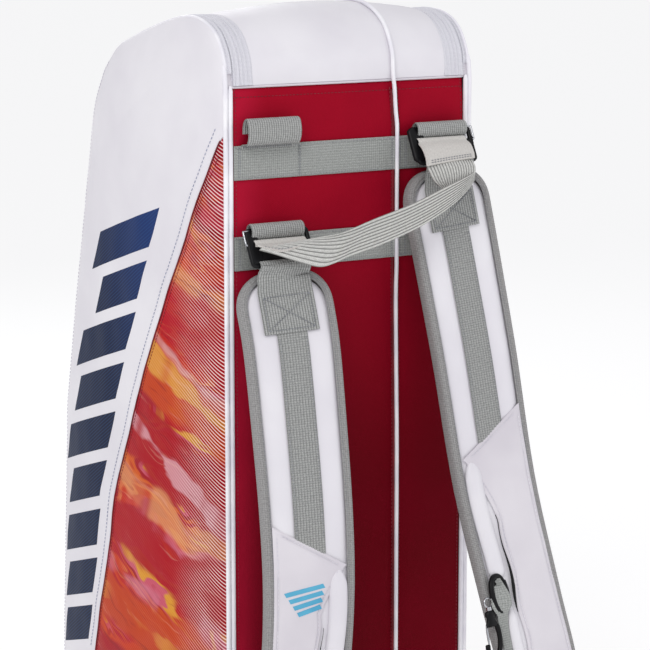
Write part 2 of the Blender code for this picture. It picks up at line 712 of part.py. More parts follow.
def build_dring_and_hook(strap):
    """Oval ring at the inner edge of the cover, and the snap hook that hangs from it."""
    place = strap.inner * DRING_W
    foot = strap.at(DRING_S, place, 0)
    down = (strap.at(DRING_S + 0.01, place, 0) - strap.at(DRING_S - 0.01, place, 0)).normalized()
    out = (strap.at(DRING_S, place, 0.01) - foot).normalized()
    inward = (strap.at(DRING_S, place + 0.01 * strap.inner, 0) - foot).normalized()

    centre = foot + out * 0.0052
    tilted = (out * 0.35 + inward).normalized()
    angles = [2 * math.pi * k / 12 for k in range(12)]
    points = [centre + down * DRING_HALF_LEN * math.cos(a) + tilted * DRING_HALF_W * math.sin(a)
              for a in angles]
    tube(f"{strap.side}_strap_dring", points, DRING_WIRE_R, PLASTIC,
         origin=centre - tilted * DRING_HALF_W, closed=True, start=out)

    top = foot + inward * 0.0140 + down * 0.0035 + out * 0.0064
    hook_length = HOOK_STATIONS[-1][0]
    rings = []
    for along, half in HOOK_STATIONS:
        middle = top + down * along + inward * HOOK_DRIFT * (along / hook_length)
        rings.append(rectangle(middle, inward, half, out, HOOK_HALF_T, -HOOK_HALF_T))
    loft(f"{strap.side}_snap_hook", rings, PLASTIC, top)


def build_lower_webbing(strap):
    """Webbing from the foot of the pad to the bag's lower corner, with its ladder adjuster."""
    length = strap.length
    out = (strap.at(length, 0, 0) - strap.at(length - 0.02, 0, 0)).normalized()
    start = strap.at(length, 0.0, -PAD_T / 2) + out * 0.0050
    anchor = Vector((strap.sign * ANCHOR_X, BACK_Y - 0.0140, 0.0340))
    along = (anchor - start).normalized()
    end = anchor - along * 0.004
    x_axis = Vector((1, 0, 0))
    ribbon(f"{strap.side}_lower_webbing", [start, start.lerp(end, 0.5), end], x_axis,
           [LOWER_WEB_HALF] * 3, [LOWER_WEB_HALF_T] * 3, WEBBING, start)
    # a flat frame with one slot round the webbing
    across = square_to(x_axis, along)
    plate(f"{strap.side}_adjuster", start.lerp(end, 0.45),
          across, (-0.0170, -0.0135, 0.0135, 0.0170),
          along.cross(across), (-0.0040, -0.0018, 0.0018, 0.0040),
          along, ADJUSTER_HALF_LEN, {(1, 1)}, PLASTIC)


def build_anchor_tab(strap):
    """Sewn tab at the bag's lower corner."""
    x = strap.sign * ANCHOR_X
    box(f"{strap.side}_anchor_tab", (x - LOWER_WEB_HALF, BACK_Y - 0.0110, 0.0235),
        (x + LOWER_WEB_HALF, BACK_Y - 0.0004, 0.0260), WEBBING)


for side, sign in SIDES:
    strap = Strap(side, sign)
    build_pad(strap)
    build_binding(strap)
    build_strap_webbing(strap)
    build_cover(strap)
    build_dring_and_hook(strap)
    build_lower_webbing(strap)
    build_anchor_tab(strap)

# ------------------------------------------- zip sliders and front handle
DOWN = Vector((0, *FRONT_DOWN))      # down the straight front
OUT = Vector((0, *FRONT_OUT))        # out of it
SLIDER_X = 0.1215
SLIDER_HEIGHTS = (("upper", 0.315), ("lower", 0.262))
PULL_LIFT = 0.0075      # the pull's upper end above the front
HANDLE_TOP_Z = 0.352
HANDLE_BOTTOM_Z = 0.205


def on_front(x, z, lift=0.0):
    """A point above the straight front at the profile height z."""
    share = (z - FRONT_TOP.y) / (FRONT_LOW.y - FRONT_TOP.y)
    return Vector((x, *FRONT_TOP.lerp(FRONT_LOW, share))) + OUT * lift


def block(name, centre, half_width, half_length, low, high, mat, origin, taper=1.0):
    """A block on the front between two heights; taper scales the width of its upper end."""
    rings = [rectangle(centre + DOWN * step, Vector((1, 0, 0)), half_width * scale, OUT, low, high)
             for step, scale in ((-half_length, taper), (half_length, 1.0))]
    loft(name, rings, mat, origin)


def build_slider(side, sign, which, z):
    """A zip slider and the pull that lies down the front from it."""
    seat = on_front(sign * SLIDER_X, z)
    block(f"{side}_slider_{which}", seat, half_width=0.0055, half_length=0.0080,
          low=0.0006, high=0.0058, mat=CHROME, origin=seat, taper=0.7)
    joint = on_front(sign * SLIDER_X, z, PULL_LIFT)
    block(f"{side}_pull_{which}", joint + DOWN * 0.0195, half_width=0.0040, half_length=0.0190,
          low=-0.0009, high=0.0009, mat=PLASTIC, origin=joint)


def build_front_handle():
    """A bowed handle down the middle of the front, between two tabs."""
    top, bottom = on_front(0.0, HANDLE_TOP_Z), on_front(0.0, HANDLE_BOTTOM_Z)
    for name, seat in (("front_handle_tab_top", top), ("front_handle_tab_bottom", bottom)):
        block(name, seat, half_width=0.0150, half_length=0.0110, low=0.0066, high=0.0084,
              mat=WEBBING, origin=seat)
    points, half_widths, half_thicknesses = [], [], []
    for share in spread(0.0, 1.0, 8):
        bow = math.sin(math.pi * share)
        lift = 0.0140 + 0.022 * bow ** 0.6
        points.append(top.lerp(bottom, 0.02 + 0.96 * share) + OUT * lift)
        half_widths.append(0.005 + 0.008 * min(1.0, bow * 1.5))
        half_thicknesses.append(0.0012 + 0.0035 * bow)
    ribbon("front_handle", points, Vector((1, 0, 0)), half_widths, half_thicknesses, WEBBING,
           top + OUT * 0.0135)


for side, sign in SIDES:
    for which, z in SLIDER_HEIGHTS:
        build_slider(side, sign, which, z)
build_front_handle()
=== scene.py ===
"""Looks of a racket backpack, built round its CAD part. Metres, +Z up.

The bag stands on z = 0, centred on x = 0. The flat back panel with the shoulder straps
faces -Y, the rounded front faces +Y, and "left" is -X. Both sides open as lids.
Side profiles are given as (y, z) pairs.
"""
import math
import random

import bmesh
import bpy
import numpy as np
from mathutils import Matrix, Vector, noise


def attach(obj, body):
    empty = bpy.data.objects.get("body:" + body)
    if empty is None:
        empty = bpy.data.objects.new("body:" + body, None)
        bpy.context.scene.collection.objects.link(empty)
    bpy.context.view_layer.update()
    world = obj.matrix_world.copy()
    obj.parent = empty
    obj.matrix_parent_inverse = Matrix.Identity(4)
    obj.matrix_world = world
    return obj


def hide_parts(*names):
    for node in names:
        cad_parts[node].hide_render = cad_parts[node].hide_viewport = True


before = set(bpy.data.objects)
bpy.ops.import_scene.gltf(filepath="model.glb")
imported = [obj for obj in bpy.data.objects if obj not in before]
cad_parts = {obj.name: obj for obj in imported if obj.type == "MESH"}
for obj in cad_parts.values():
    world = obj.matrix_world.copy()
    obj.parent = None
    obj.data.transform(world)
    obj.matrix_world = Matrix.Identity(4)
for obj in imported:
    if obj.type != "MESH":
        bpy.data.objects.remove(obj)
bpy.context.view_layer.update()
random.seed(7)
scene = bpy.context.scene


# ---------------------------------------------------------------- vectors and lines
def vec(*values):
    return np.array(values, float)


def unit(vectors):
    vectors = np.asarray(vectors, float)
    length = np.linalg.norm(vectors, axis=-1, keepdims=True)
    return vectors / np.maximum(length, 1e-12)


def points(*coordinates):
    """Joins coordinates, each a number or an array, into an array of points."""
    return np.stack(np.broadcast_arrays(*coordinates), -1)


def ease(t):
    """Smooth step from 0 to 1."""
    t = np.clip(t, 0, 1)
    return t * t * (3 - 2 * t)


def bell(distance, width):
    return np.exp(-(distance / width) ** 2)


def falloff(distance, width):
    """1 at an edge, falling to 0 at the given width from it."""
    return np.clip(1 - distance / width, 0, 1) ** 2


def nearest(values, target):
    return int(np.argmin(np.abs(values - target)))


def arc_length(line):
    """Distance of each point of a line from its start."""
    steps = np.linalg.norm(np.diff(line, axis=0), axis=1)
    return np.concatenate([[0], np.cumsum(steps)])


def interp_rows(where, marks, rows):
    """Rows of a table, one row to a mark, read off at other marks."""
    return np.stack([np.interp(where, marks, column) for column in rows.T], -1)


def spread(line, count):
    """The same line with this many points at equal distances."""
    line = np.asarray(line, float)
    marks = arc_length(line)
    return interp_rows(np.linspace(0, marks[-1], count), marks, line)


def resample(line, step):
    length = arc_length(np.asarray(line, float))[-1]
    return spread(line, max(2, int(round(length / step)) + 1))


def spline(controls, steps):
    """Catmull-Rom curve through the control points."""
    controls = [np.asarray(p, float) for p in controls]
    controls = ([2 * controls[0] - controls[1]] + controls
                + [2 * controls[-1] - controls[-2]])
    line = []
    for i in range(1, len(controls) - 2):
        before, start, end, after = controls[i - 1:i + 3]
        for k in range(steps):
            t = k / steps
            line.append(0.5 * (2 * start + (end - before) * t
                               + (2 * before - 5 * start + 4 * end - after) * t * t
                               + (3 * start - before - 3 * end + after) * t ** 3))
    line.append(controls[-2].copy())
    return np.array(line)


def frames(line, ref, closed=False):
    """Across and up directions along a line, carried without twist."""
    count = len(line)
    across, up = np.zeros_like(line), np.zeros_like(line)
    side = np.asarray(ref, float)
    for i in range(count):
        if closed:
            tangent = unit(line[(i + 1) % count] - line[(i - 1) % count])
        else:
            tangent = unit(line[min(count - 1, i + 1)] - line[max(0, i - 1)])
        side = unit(side - tangent * side.dot(tangent))
        across[i], up[i] = side, np.cross(tangent, side)
    return across, up


def fixed_frames(line, across):
    """Frames whose across direction stays as close as it can to the given one."""
    tangents = unit(np.gradient(line, axis=0))
    across = np.asarray(across, float)
    across = unit(across - tangents * (across * tangents).sum(1, keepdims=True))
    return across, np.cross(tangents, across)


def rounded_loop(origin, x_axis, y_axis, corners, first, radius, step):
    """Closed line round four corner centres; the first corner starts at angle `first`."""
    line = []
    for number, (x, y) in enumerate(corners):
        start = first + 90 * number
        for angle in np.radians(np.linspace(start, start + 90, 6)):
            line.append(origin + x_axis * (x + radius[0] * math.cos(angle))
                        + y_axis * (y + radius[1] * math.sin(angle)))
    return resample(line + [line[0]], step)[:-1]


def noise_at(place, scale, seed=0.0):
    """Smooth noise of an array of points, about -1 to 1."""
    flat = place.reshape(-1, 3) * scale + seed
    return np.array([noise.noise(Vector(p)) for p in flat]).reshape(place.shape[:-1])


# ---------------------------------------------------------------- sections
def oval(half_width, half_height, sides, power_x=1.0, power_y=1.0):
    """Closed oval of (across, up) points; powers below 1 square it off."""
    angle = np.arange(sides) * 2 * math.pi / sides
    x, y = np.cos(angle), np.sin(angle)
    return points(np.sign(x) * np.abs(x) ** power_x * half_width,
                  np.sign(y) * np.abs(y) ** power_y * half_height)


def stretched(section, widths, heights):
    """One copy of a section per station, scaled across and up."""
    return section * points(widths, heights)[:, None]


def rib_section(half, thick, ribs, depth, edge=0.0006):
    """Section of webbing: ribs along it on both faces, and rounded edges."""
    top, per_rib = [], 6
    count = ribs * per_rib
    for i in range(count + 1):
        across = -half + edge + (2 * half - 2 * edge) * i / count
        groove = (0.5 + 0.5 * math.cos(2 * math.pi * i / per_rib)) ** 1.5
        top.append((across, thick / 2 - depth * groove))
    lower = [(across, -up) for across, up in reversed(top)]
    return np.array([(-half, 0.0)] + top + [(half, 0.0)] + lower)[::-1]


# ---------------------------------------------------------------- dimensions (as in the part)
SIDES = ((-1, "left"), (1, "right"))
X_AXIS = vec(1, 0, 0)
BACK = vec(0, -1, 0)             # outward normal of the back panel
BACK_Y = -0.155
SHEET = 0.0025                   # thickness of the shell
BASE_R, HEEL_R = 0.070, 0.020    # lower corners at the front and at the back
CROWN_Z = 0.7475                 # highest point of the dome
DOME_FOOT_Z = 0.690              # where the dome meets the back panel
DIVIDER_X = 0.047
SIDE_X, BULGE = 0.1294, 0.022    # rim of a side panel and how far its middle bulges out
GUSSET = 0.1110                  # half width of the gusset
WEDGE_TOP_Z = 0.65               # upper end of the printed panel
UPPER_BAND_Z, LOWER_BAND_Z = 0.623, 0.5435
LOOP_W, LOOP_X, RIGHT_LOOP_X, LOOP_Y = 0.054, 0.086, 0.088, -0.1665
UPPER_LOOP_Z, LOWER_LOOP_Z = 0.643, 0.5635

# rings in the webbing loops: they hang down and away from the back panel
RING_HANG = math.radians(26.0)
RING_LENGTH, RING_MID, RING_HALF = 0.031, 0.0125, 0.0305
HANG = vec(0, -math.sin(RING_HANG), -math.cos(RING_HANG))
RING_OUT = vec(0, -math.cos(RING_HANG), math.sin(RING_HANG))
RING_TOPS = {"left": vec(-LOOP_X, LOOP_Y, LOWER_LOOP_Z),
             "right": vec(RIGHT_LOOP_X, LOOP_Y, UPPER_LOOP_Z)}

# shoulder straps
PAD_T, PAD_HALF = 0.011, 0.044
PAD_INSET = 0.0050 + 0.0005      # rim of the pad under its binding
COVER_S, DRING_S = 0.243, 0.388  # distances along the strap


# ---------------------------------------------------------------- shader helpers
def srgb(code):
    """Linear colour of a hex code."""
    parts = [int(code[i:i + 2], 16) / 255 for i in (1, 3, 5)]
    return tuple(c / 12.92 if c <= 0.04045 else ((c + 0.055) / 1.055) ** 2.4
                 for c in parts) + (1.0,)


class Signal:
    """Output of a shader node; arithmetic on it adds math nodes."""

    def __init__(self, shader, socket):
        self.shader, self.socket = shader, socket

    def math(self, operation, other=0.0):
        return self.shader.math(operation, self, other)

    def __add__(self, other):
        return self.math("ADD", other)

    def __radd__(self, other):
        return self.shader.math("ADD", other, self)

    def __sub__(self, other):
        return self.math("SUBTRACT", other)

    def __rsub__(self, other):
        return self.shader.math("SUBTRACT", other, self)

    def __mul__(self, other):
        return self.math("MULTIPLY", other)

    def __truediv__(self, other):
        return self.math("DIVIDE", other)

    def sine(self):
        return self.math("SINE")

    def turns(self, period):
        """Angle that makes a full turn every period."""
        return self * (2 * math.pi / period)

    def step(self, low, high):
        """Smooth step from 0 at low to 1 at high."""
        return self.shader.node("MapRange", 0, {0: self, 1: low, 2: high, 3: 0.0, 4: 1.0},
                                interpolation_type="SMOOTHSTEP")


class Shader:
    """Short hand for a material's node tree."""

    def __init__(self, name):
        self.material = bpy.data.materials.new(name)
        self.material.use_nodes = True
        self.tree = self.material.node_tree
        self.surface = self.tree.nodes["Principled BSDF"]

    def put(self, socket, value):
        """Links a signal, or sets a number or a hex colour."""
        if isinstance(value, Signal):
            self.tree.links.new(value.socket, socket)
        else:
            socket.default_value = srgb(value) if isinstance(value, str) else value

    def node(self, kind, output, inputs, **settings):
        node = self.tree.nodes.new("ShaderNode" + kind)
        for key, value in settings.items():
            setattr(node, key, value)
        for key, value in inputs.items():
            self.put(node.inputs[key], value)
        return Signal(self, node.outputs[output])

    def math(self, operation, first, second=0.0):
        return self.node("Math", 0, {0: first, 1: second, 2: 0.0}, operation=operation)

    def place(self):
        """Position on the object."""
        return self.node("TexCoord", "Object", {})

    def axes(self, kind="UV"):
        """The three components of a texture coordinate."""
        split = self.tree.nodes.new("ShaderNodeSeparateXYZ")
        self.put(split.inputs[0], self.node("TexCoord", kind, {}))
        return [Signal(self, socket) for socket in split.outputs]

    def combine(self, x, y, z):
        return self.node("CombineXYZ", 0, {0: x, 1: y, 2: z})

    def noise(self, place, scale=1.0, detail=2, rough=0.5, dist=0.0):
        return self.node("TexNoise", "Fac", {
            "Vector": place, "Scale": scale, "Detail": detail, "Roughness": rough,
            "Distortion": dist})

    def cells(self, place, scale):
        return self.node("TexVoronoi", "Distance", {"Vector": place, "Scale": scale})

    def ramp(self, factor, stops):
        node = self.tree.nodes.new("ShaderNodeValToRGB")
        elements = node.color_ramp.elements
        while len(elements) < len(stops):
            elements.new(0.5)
        for element, (position, tone) in zip(elements, stops):
            element.position = position
            element.color = srgb(tone)
        self.put(node.inputs[0], factor)
        return Signal(self, node.outputs[0])

    def mix(self, factor, first, second):
        return self.node("Mix", 2, {0: factor, 6: first, 7: second}, data_type="RGBA")

    def bump(self, height, strength, dist, normal=None):
        inputs = {"Strength": strength, "Distance": dist, "Height": height}
        if normal is not None:
            inputs["Normal"] = normal
        return self.node("Bump", 0, inputs)

    def finish(self, color, rough, normal=None, metal=0.0, coat=0.0, spec=0.5, sheen=0.0):
        values = {"Base Color": color, "Roughness": rough, "Metallic": metal,
                  "Coat Weight": coat, "Coat Roughness": 0.25,
                  "Specular IOR Level": spec, "Sheen Weight": sheen}
        if normal is not None:
            values["Normal"] = normal
        for key, value in values.items():
            self.put(self.surface.inputs[key], value)
        return self.material


# ---------------------------------------------------------------- materials
def coated_fabric(name, light, dark, rough=0.42, grain=0.25):
    """Coated fabric: fine leather-like grain, faint cloudiness and soft waves."""
    sh = Shader(name)
    place = sh.place()
    cloud = sh.noise(place, scale=9.0, detail=3, rough=0.55)
    fine = sh.noise(place, scale=260.0)
    cell = sh.cells(place, scale=900.0)
    pore = sh.noise(place, scale=2600.0, rough=0.6)
    color = sh.mix(cloud.step(0.30, 0.72), dark, light)
    color = sh.mix(fine * 0.10, color, dark)
    normal = sh.bump(cell * 0.8 + pore * 0.4, strength=grain, dist=0.0002)
    wave = sh.noise(place, scale=38.0)
    normal = sh.bump(wave, strength=0.22, dist=0.0030, normal=normal)
    return sh.finish(color, (rough - 0.04) + fine * 0.10, normal, coat=0.12)


def red_fabric():
    """Red cloth of the back panel, lighter towards the top and at the left edge: painted light
    above, painted shade lower down and a painted highlight along the left edge.
    """
    sh = Shader("red_coated_fabric")
    place = sh.place()
    x, _, z = sh.axes("Object")
    # painted light and shade: lighter towards the top, darker lower down
    color = sh.mix(z.step(0.30, 0.62), "#5E000C", "#960620")
    # painted highlight along the left edge, where the panel curves towards the key light
    painted_left_highlight = 1.0 - x.step(-0.118, -0.085)
    color = sh.mix(painted_left_highlight * 0.55, color, "#C01C3C")
    cloud = sh.noise(place, scale=14.0, detail=3)
    color = sh.mix(cloud.step(0.35, 0.75) * 0.25, color, "#74001A")
    # very fine slanted threads
    twill = ((x * 1.0 + z * 0.8) * 4200.0).sine()
    pore = sh.noise(place, scale=1500.0, rough=0.6)
    color = sh.mix(pore.step(0.42, 0.75) * 0.25, color, "#AA0E30")
    normal = sh.bump(twill * 0.45 + pore, strength=0.45, dist=0.00025)
    wave = sh.noise(place, scale=30.0)
    normal = sh.bump(wave, strength=0.25, dist=0.003, normal=normal)
    return sh.finish(color, 0.58 + cloud * 0.12, normal, spec=0.05)


WIDE_TONES = ("#9C0012", "#B4081C", "#C4360A", "#AC041C", "#D0601A", "#9E001A", "#BC2A40",
              "#A60014")
FINE_TONES = ("#A80016", "#C22C06", "#D87840", "#AE0016", "#C84C06", "#9E0016", "#C65468",
              "#D6942E", "#B40E0E")
# strokes across the print: centre z at y = 0, half width, slope, tone, amount, soft edge,
# broken up along its length
STROKES = (
    (0.610, 0.020, 0.55, "#D2562A", 0.85, 0.010, True),
    (0.575, 0.010, 0.60, "#D88850", 0.80, 0.010, True),
    (0.535, 0.022, 0.55, "#B00A1E", 0.92, 0.012, False),
    (0.485, 0.005, 0.55, "#D49A98", 0.75, 0.006, True),
    (0.448, 0.020, 0.45, "#C0400A", 0.92, 0.010, False),
    (0.468, 0.003, 0.50, "#DCA040", 0.70, 0.006, True),
    (0.385, 0.030, 0.42, "#A60016", 0.96, 0.010, False),
    (0.394, 0.004, 0.60, "#D69CA4", 0.75, 0.005, True),
    (0.324, 0.009, 0.40, "#DA9460", 0.68, 0.008, True),
    (0.306, 0.006, 0.42, "#CE7088", 0.65, 0.006, True),
    (0.270, 0.019, 0.30, "#A80017", 0.96, 0.010, False),
    (0.225, 0.008, 0.25, "#CC788C", 0.65, 0.008, True),
    (0.187, 0.024, 0.22, "#BE3E0C", 0.90, 0.012, False),
    (0.191, 0.004, 0.25, "#D8963E", 0.60, 0.004, True),
    (0.125, 0.026, 0.20, "#A40018", 0.94, 0.012, False),
    (0.070, 0.018, 0.20, "#C43A10", 0.90, 0.010, True),
)


def tone_blocks(sh, factor, tones):
    """Broad patches of colour with short soft edges."""
    stops, count, soft = [], len(tones), 0.016
    for i, tone in enumerate(tones):
        stops.append((max(0.0, i / count + (soft if i else 0.0)), tone))
        stops.append((min(1.0, (i + 1) / count - soft), tone))
    return sh.ramp(factor, stops)


def printed_fabric():
    """Brush strokes of red, orange and peach under slanted pin lines. UV is (y, z)."""
    sh = Shader("printed_coated_fabric")
    y, z, _ = sh.axes()
    # directions along and across the strokes
    along = z * 0.37 + y * 0.93
    across = z * 0.93 - y * 0.37
    wobble = sh.noise(sh.combine(y * 14.0, z * 14.0, 1.7))
    across = across + (wobble - 0.5) * 0.030

    def streaks(along_scale, across_scale, seed, dist, **settings):
        place = sh.combine(along * along_scale, across * across_scale, seed)
        return sh.noise(place, dist=dist, **settings)

    fibre = streaks(12.0, 160.0, seed=7.7, dist=0.4, detail=3, rough=0.6)
    jitter = (fibre - 0.5) * 0.05
    wide = streaks(4.6, 13.0, seed=0.3, dist=0.7).step(0.24, 0.76) + jitter
    fine = streaks(9.0, 27.0, seed=4.1, dist=0.9).step(0.24, 0.76) + jitter
    choice = streaks(7.0, 16.0, seed=11.0, dist=0.6).step(0.44, 0.58)
    color = sh.mix(choice, tone_blocks(sh, wide, WIDE_TONES), tone_blocks(sh, fine, FINE_TONES))
    for centre, half, slope, tone, amount, feather, torn in STROKES:
        height = z - (centre + y * slope)
        distance = height.math("ABSOLUTE") + ((wobble - 0.5) * 0.07 + jitter * 0.22)
        weight = 1.0 - distance.step(half, half + feather)
        if torn:
            run = sh.noise(sh.combine(along * 18.0, centre * 50.0, 5.0), dist=0.4)
            weight = weight * run.step(0.36, 0.54)
        color = sh.mix(weight * amount, color, tone)
    # thin wisps
    color = sh.mix(fibre.step(0.62, 0.70) * 0.16, color, "#EFC0A8")
    color = sh.mix((1.0 - fibre.step(0.32, 0.42)) * 0.45, color, "#86000E")
    # pin lines, strongest at the back edge and fading towards the seam
    pins = (z - y * 0.72).turns(0.0034).sine()
    fade = 1.0 - (y + -BACK_Y).step(0.006, 0.078)
    patch = streaks(16.0, 30.0, seed=2.0, dist=0.0).step(0.34, 0.60)
    keep = (fade * (0.50 + patch * 0.6)).math("MAXIMUM", patch * 0.05).math("MINIMUM", 1.0)
    light_lines = pins.step(0.46, 0.90) * keep
    dark_lines = (pins * -1.0).step(0.05, 0.6) * fade.math("MAXIMUM", 0.10)
    color = sh.mix(dark_lines * 0.55, color, "#64000C")
    color = sh.mix(light_lines * 0.88, color, "#F0E4E2")
    place = sh.place()
    grain = sh.cells(place, scale=900.0) + sh.noise(place, scale=2400.0)
    normal = sh.bump(grain, strength=0.22, dist=0.0002)
    wave = sh.noise(place, scale=34.0)
    normal = sh.bump(wave, strength=0.22, dist=0.003, normal=normal)
    return sh.finish(color, 0.48, normal, spec=0.12)


def webbing(name, light, dark, rib=0.003, cross=0.0021, strength=0.7, groove=0.25,
            tone="#5E605F"):
    """Woven webbing. UV is (across, along); there is a groove between ribs every `rib`, darkened
    by `groove` with painted shade in the colour `tone`.
    """
    sh = Shader(name)
    across, along, _ = sh.axes()
    groove_wave = across.turns(rib).math("COSINE")
    rib_wave = across.turns(rib / 2).sine()
    cross_wave = (along.turns(cross) + rib_wave * 1.2).sine()
    fibre = sh.noise(sh.combine(across * 3200.0, along * 700.0, 0.0), rough=0.6)
    speck = sh.noise(sh.combine(across * 900.0, along * 420.0, 3.0), rough=0.6)
    height = rib_wave * 0.25 + (cross_wave * 0.5 + fibre * 0.5)
    shade = (height * 0.55 + (speck - 0.5) * 1.5).step(-0.60, 0.90)
    color = sh.mix(shade, dark, light)
    # painted shade: the grooves between the ribs are darkened towards the tone colour
    color = sh.mix(groove_wave.step(0.35, 0.95) * groove, color, tone)
    relief = height - groove_wave.step(0.2, 1.0) * 0.8
    normal = sh.bump(relief, strength=strength, dist=0.00035)
    return sh.finish(color, 0.78, normal, spec=0.15, sheen=0.05)


def zip_cloth():
    """Finely woven tape. UV is (across, along)."""
    sh = Shader("white_zip_tape")
    across, along, _ = sh.axes()
    weave = (along.turns(0.0011) + across.turns(0.0014).sine() * 1.4).sine()
    normal = sh.bump(weave, strength=0.5, dist=0.00025)
    color = sh.mix(weave.step(-0.6, 0.8), "#C9C8D2", "#E6E5EB")
    return sh.finish(color, 0.62, normal, spec=0.4, sheen=0.1)


def plain(name, light, dark, rough, metal=0.0, scale=3000, grain=0.3, coat=0.0, spec=0.5):
    """One cloudy tone with a fine grain."""
    sh = Shader(name)
    place = sh.place()
    fine = sh.noise(place, scale=scale, detail=3, rough=0.55)
    cloud = sh.noise(place, scale=40.0)
    color = sh.mix(cloud.step(0.3, 0.7), dark, light)
    normal = sh.bump(fine, strength=grain, dist=0.0002)
    return sh.finish(color, (rough - 0.05) + fine * 0.10, normal, metal=metal, coat=coat,
                     spec=spec)


def lining_cloth():
    sh = Shader("grey_lining")
    x, y, z = sh.axes("Object")
    thread = 0.0016
    weave = (y + x).turns(thread).sine() * z.turns(thread).sine()
    cloud = sh.noise(sh.place(), scale=20.0, detail=3)
    color = sh.mix((weave * 0.3 + cloud).step(0.2, 0.9), "#7E8188", "#9A9DA4")
    normal = sh.bump(weave, strength=0.5, dist=0.0003)
    return sh.finish(color, 0.8, normal, spec=0.3, sheen=0.1)


def navy_print():
    """Navy that turns lighter towards the back, with a fine screen. UV is (y, z)."""
    sh = Shader("navy_print")
    y, z, _ = sh.axes()
    screen = (z + y * 0.6).turns(0.0032).sine()
    color = sh.mix((z * 0.35 - y).step(0.10, 0.30), "#0C1330", "#14306A")
    color = sh.mix(screen.step(0.2, 0.9) * 0.22, color, "#2C62A0")
    normal = sh.bump(sh.cells(sh.place(), scale=900.0), strength=0.2, dist=0.0002)
    return sh.finish(color, 0.5, normal, spec=0.12)


def spacer_mesh():
    """White mesh with staggered rows of small holes. UV is (across, along)."""
    sh = Shader("white_spacer_mesh")
    across, along, _ = sh.axes()
    pitch_x, pitch_y = 0.0030, 0.0026
    row = (along / pitch_y).math("FLOOR")
    stagger = (row * 0.5).math("FRACT") * pitch_x
    x = ((across + stagger) / pitch_x).math("FRACT") - 0.5
    y = (along / pitch_y).math("FRACT") - 0.5
    solid = (x * x + y * y).math("SQRT").step(0.20, 0.34)
    color = sh.mix(solid, "#8F8E98", "#DAD8E0")
    normal = sh.bump(solid, strength=0.9, dist=0.0008)
    return sh.finish(color, 0.75, normal, spec=0.3, sheen=0.1)


WHITE = coated_fabric("white_coated_fabric", "#E3E1E6", "#D9D6DD")
# painted shade: a darker, slightly rougher copy of the white fabric for the strap covers and the
# top hem
WHITE_SHADED = coated_fabric("white_fabric_shaded", "#DAD6DC", "#CCC7CF", rough=0.45, grain=0.3)
RED = red_fabric()
PRINT = printed_fabric()
# groove and tone set the painted shade in the grooves between the ribs
WEB = webbing("grey_webbing", "#BDBEBD", "#7C7D7C", strength=0.8, groove=0.45)
WEB_BAND = webbing("grey_webbing_band", "#B9BBB9", "#838683", groove=0.20, tone="#727572")
WEB_BOLD = webbing("grey_webbing_ribbed", "#C0C1C0", "#858685", cross=0.0016, strength=0.6,
                   groove=0.75, tone="#606260")
WEB_HANDLE = webbing("grey_webbing_handle", "#DCDCD9", "#ACACA9", cross=0.0014,
                     strength=0.5, groove=0.78, tone="#6C6C6A")
WEB_LIGHT = webbing("grey_webbing_face", "#D4D1CD", "#BDBAB6", cross=0.0010, strength=0.35,
                    groove=0.10, tone="#A8A4A0")
BINDING = webbing("grey_binding", "#B4B3B3", "#7E7C7C", rib=0.0021, cross=0.0016)
BASE_CLOTH = webbing("base_cloth", "#7C7E86", "#5C5E66", cross=0.0022, groove=0.3)
TAPE = zip_cloth()
COIL = plain("white_zip_coil", "#E4E4EA", "#CFCFD8", rough=0.35, scale=900, grain=0.1)
CORD = plain("white_piping", "#F0EFF3", "#E2E0E8", rough=0.38, scale=1200, grain=0.12,
             coat=0.1)
BLACK = plain("black_plastic", "#0E0E11", "#08080A", rough=0.42, scale=1500, grain=0.12,
              spec=0.2)
CHROME = plain("chrome_wire", "#C4C5C9", "#9EA0A5", rough=0.18, metal=1.0, scale=800,
               grain=0.06)
LINING = lining_cloth()
NAVY = navy_print()
BLUE = plain("light_blue_print", "#55ACCC", "#3F9ABF", rough=0.4, scale=900, grain=0.1,
             coat=0.1)
THREAD = plain("white_thread", "#E6E4EA", "#C6C4CE", rough=0.6)
THREAD_GREY = plain("grey_thread", "#94969A", "#787A80", rough=0.6)
THREAD_BLUE = plain("bluish_thread", "#A9AEBF", "#8D93AA", rough=0.6)
THREAD_RED = plain("dark_red_thread", "#8A1A2C", "#6A0A1C", rough=0.6)
DARK_RED = plain("dark_red_cord", "#7A0A1C", "#5E0414", rough=0.5, scale=1200, grain=0.2)
SPACER = spacer_mesh()


# ---------------------------------------------------------------- meshes
def tube_faces(rings, sides, closed=False):
    """Faces between neighbouring rings of points."""
    faces = []
    for ring in range(rings if closed else rings - 1):
        here, there = ring * sides, (ring + 1) % rings * sides
        for side in range(sides):
            after = (side + 1) % sides
            faces.append((here + side, here + after, there + after, there + side))
    return faces


def stitch_faces():
    """Two end points (0 and 16) joined over three rings of five points."""
    faces = []
    for side in range(5):
        after = (side + 1) % 5
        faces.append((0, 1 + after, 1 + side))
        faces.append((1 + side, 1 + after, 6 + after, 6 + side))
        faces.append((6 + side, 6 + after, 11 + after, 11 + side))
        faces.append((11 + side, 11 + after, 16))
    return faces


STITCH_FACES = stitch_faces()


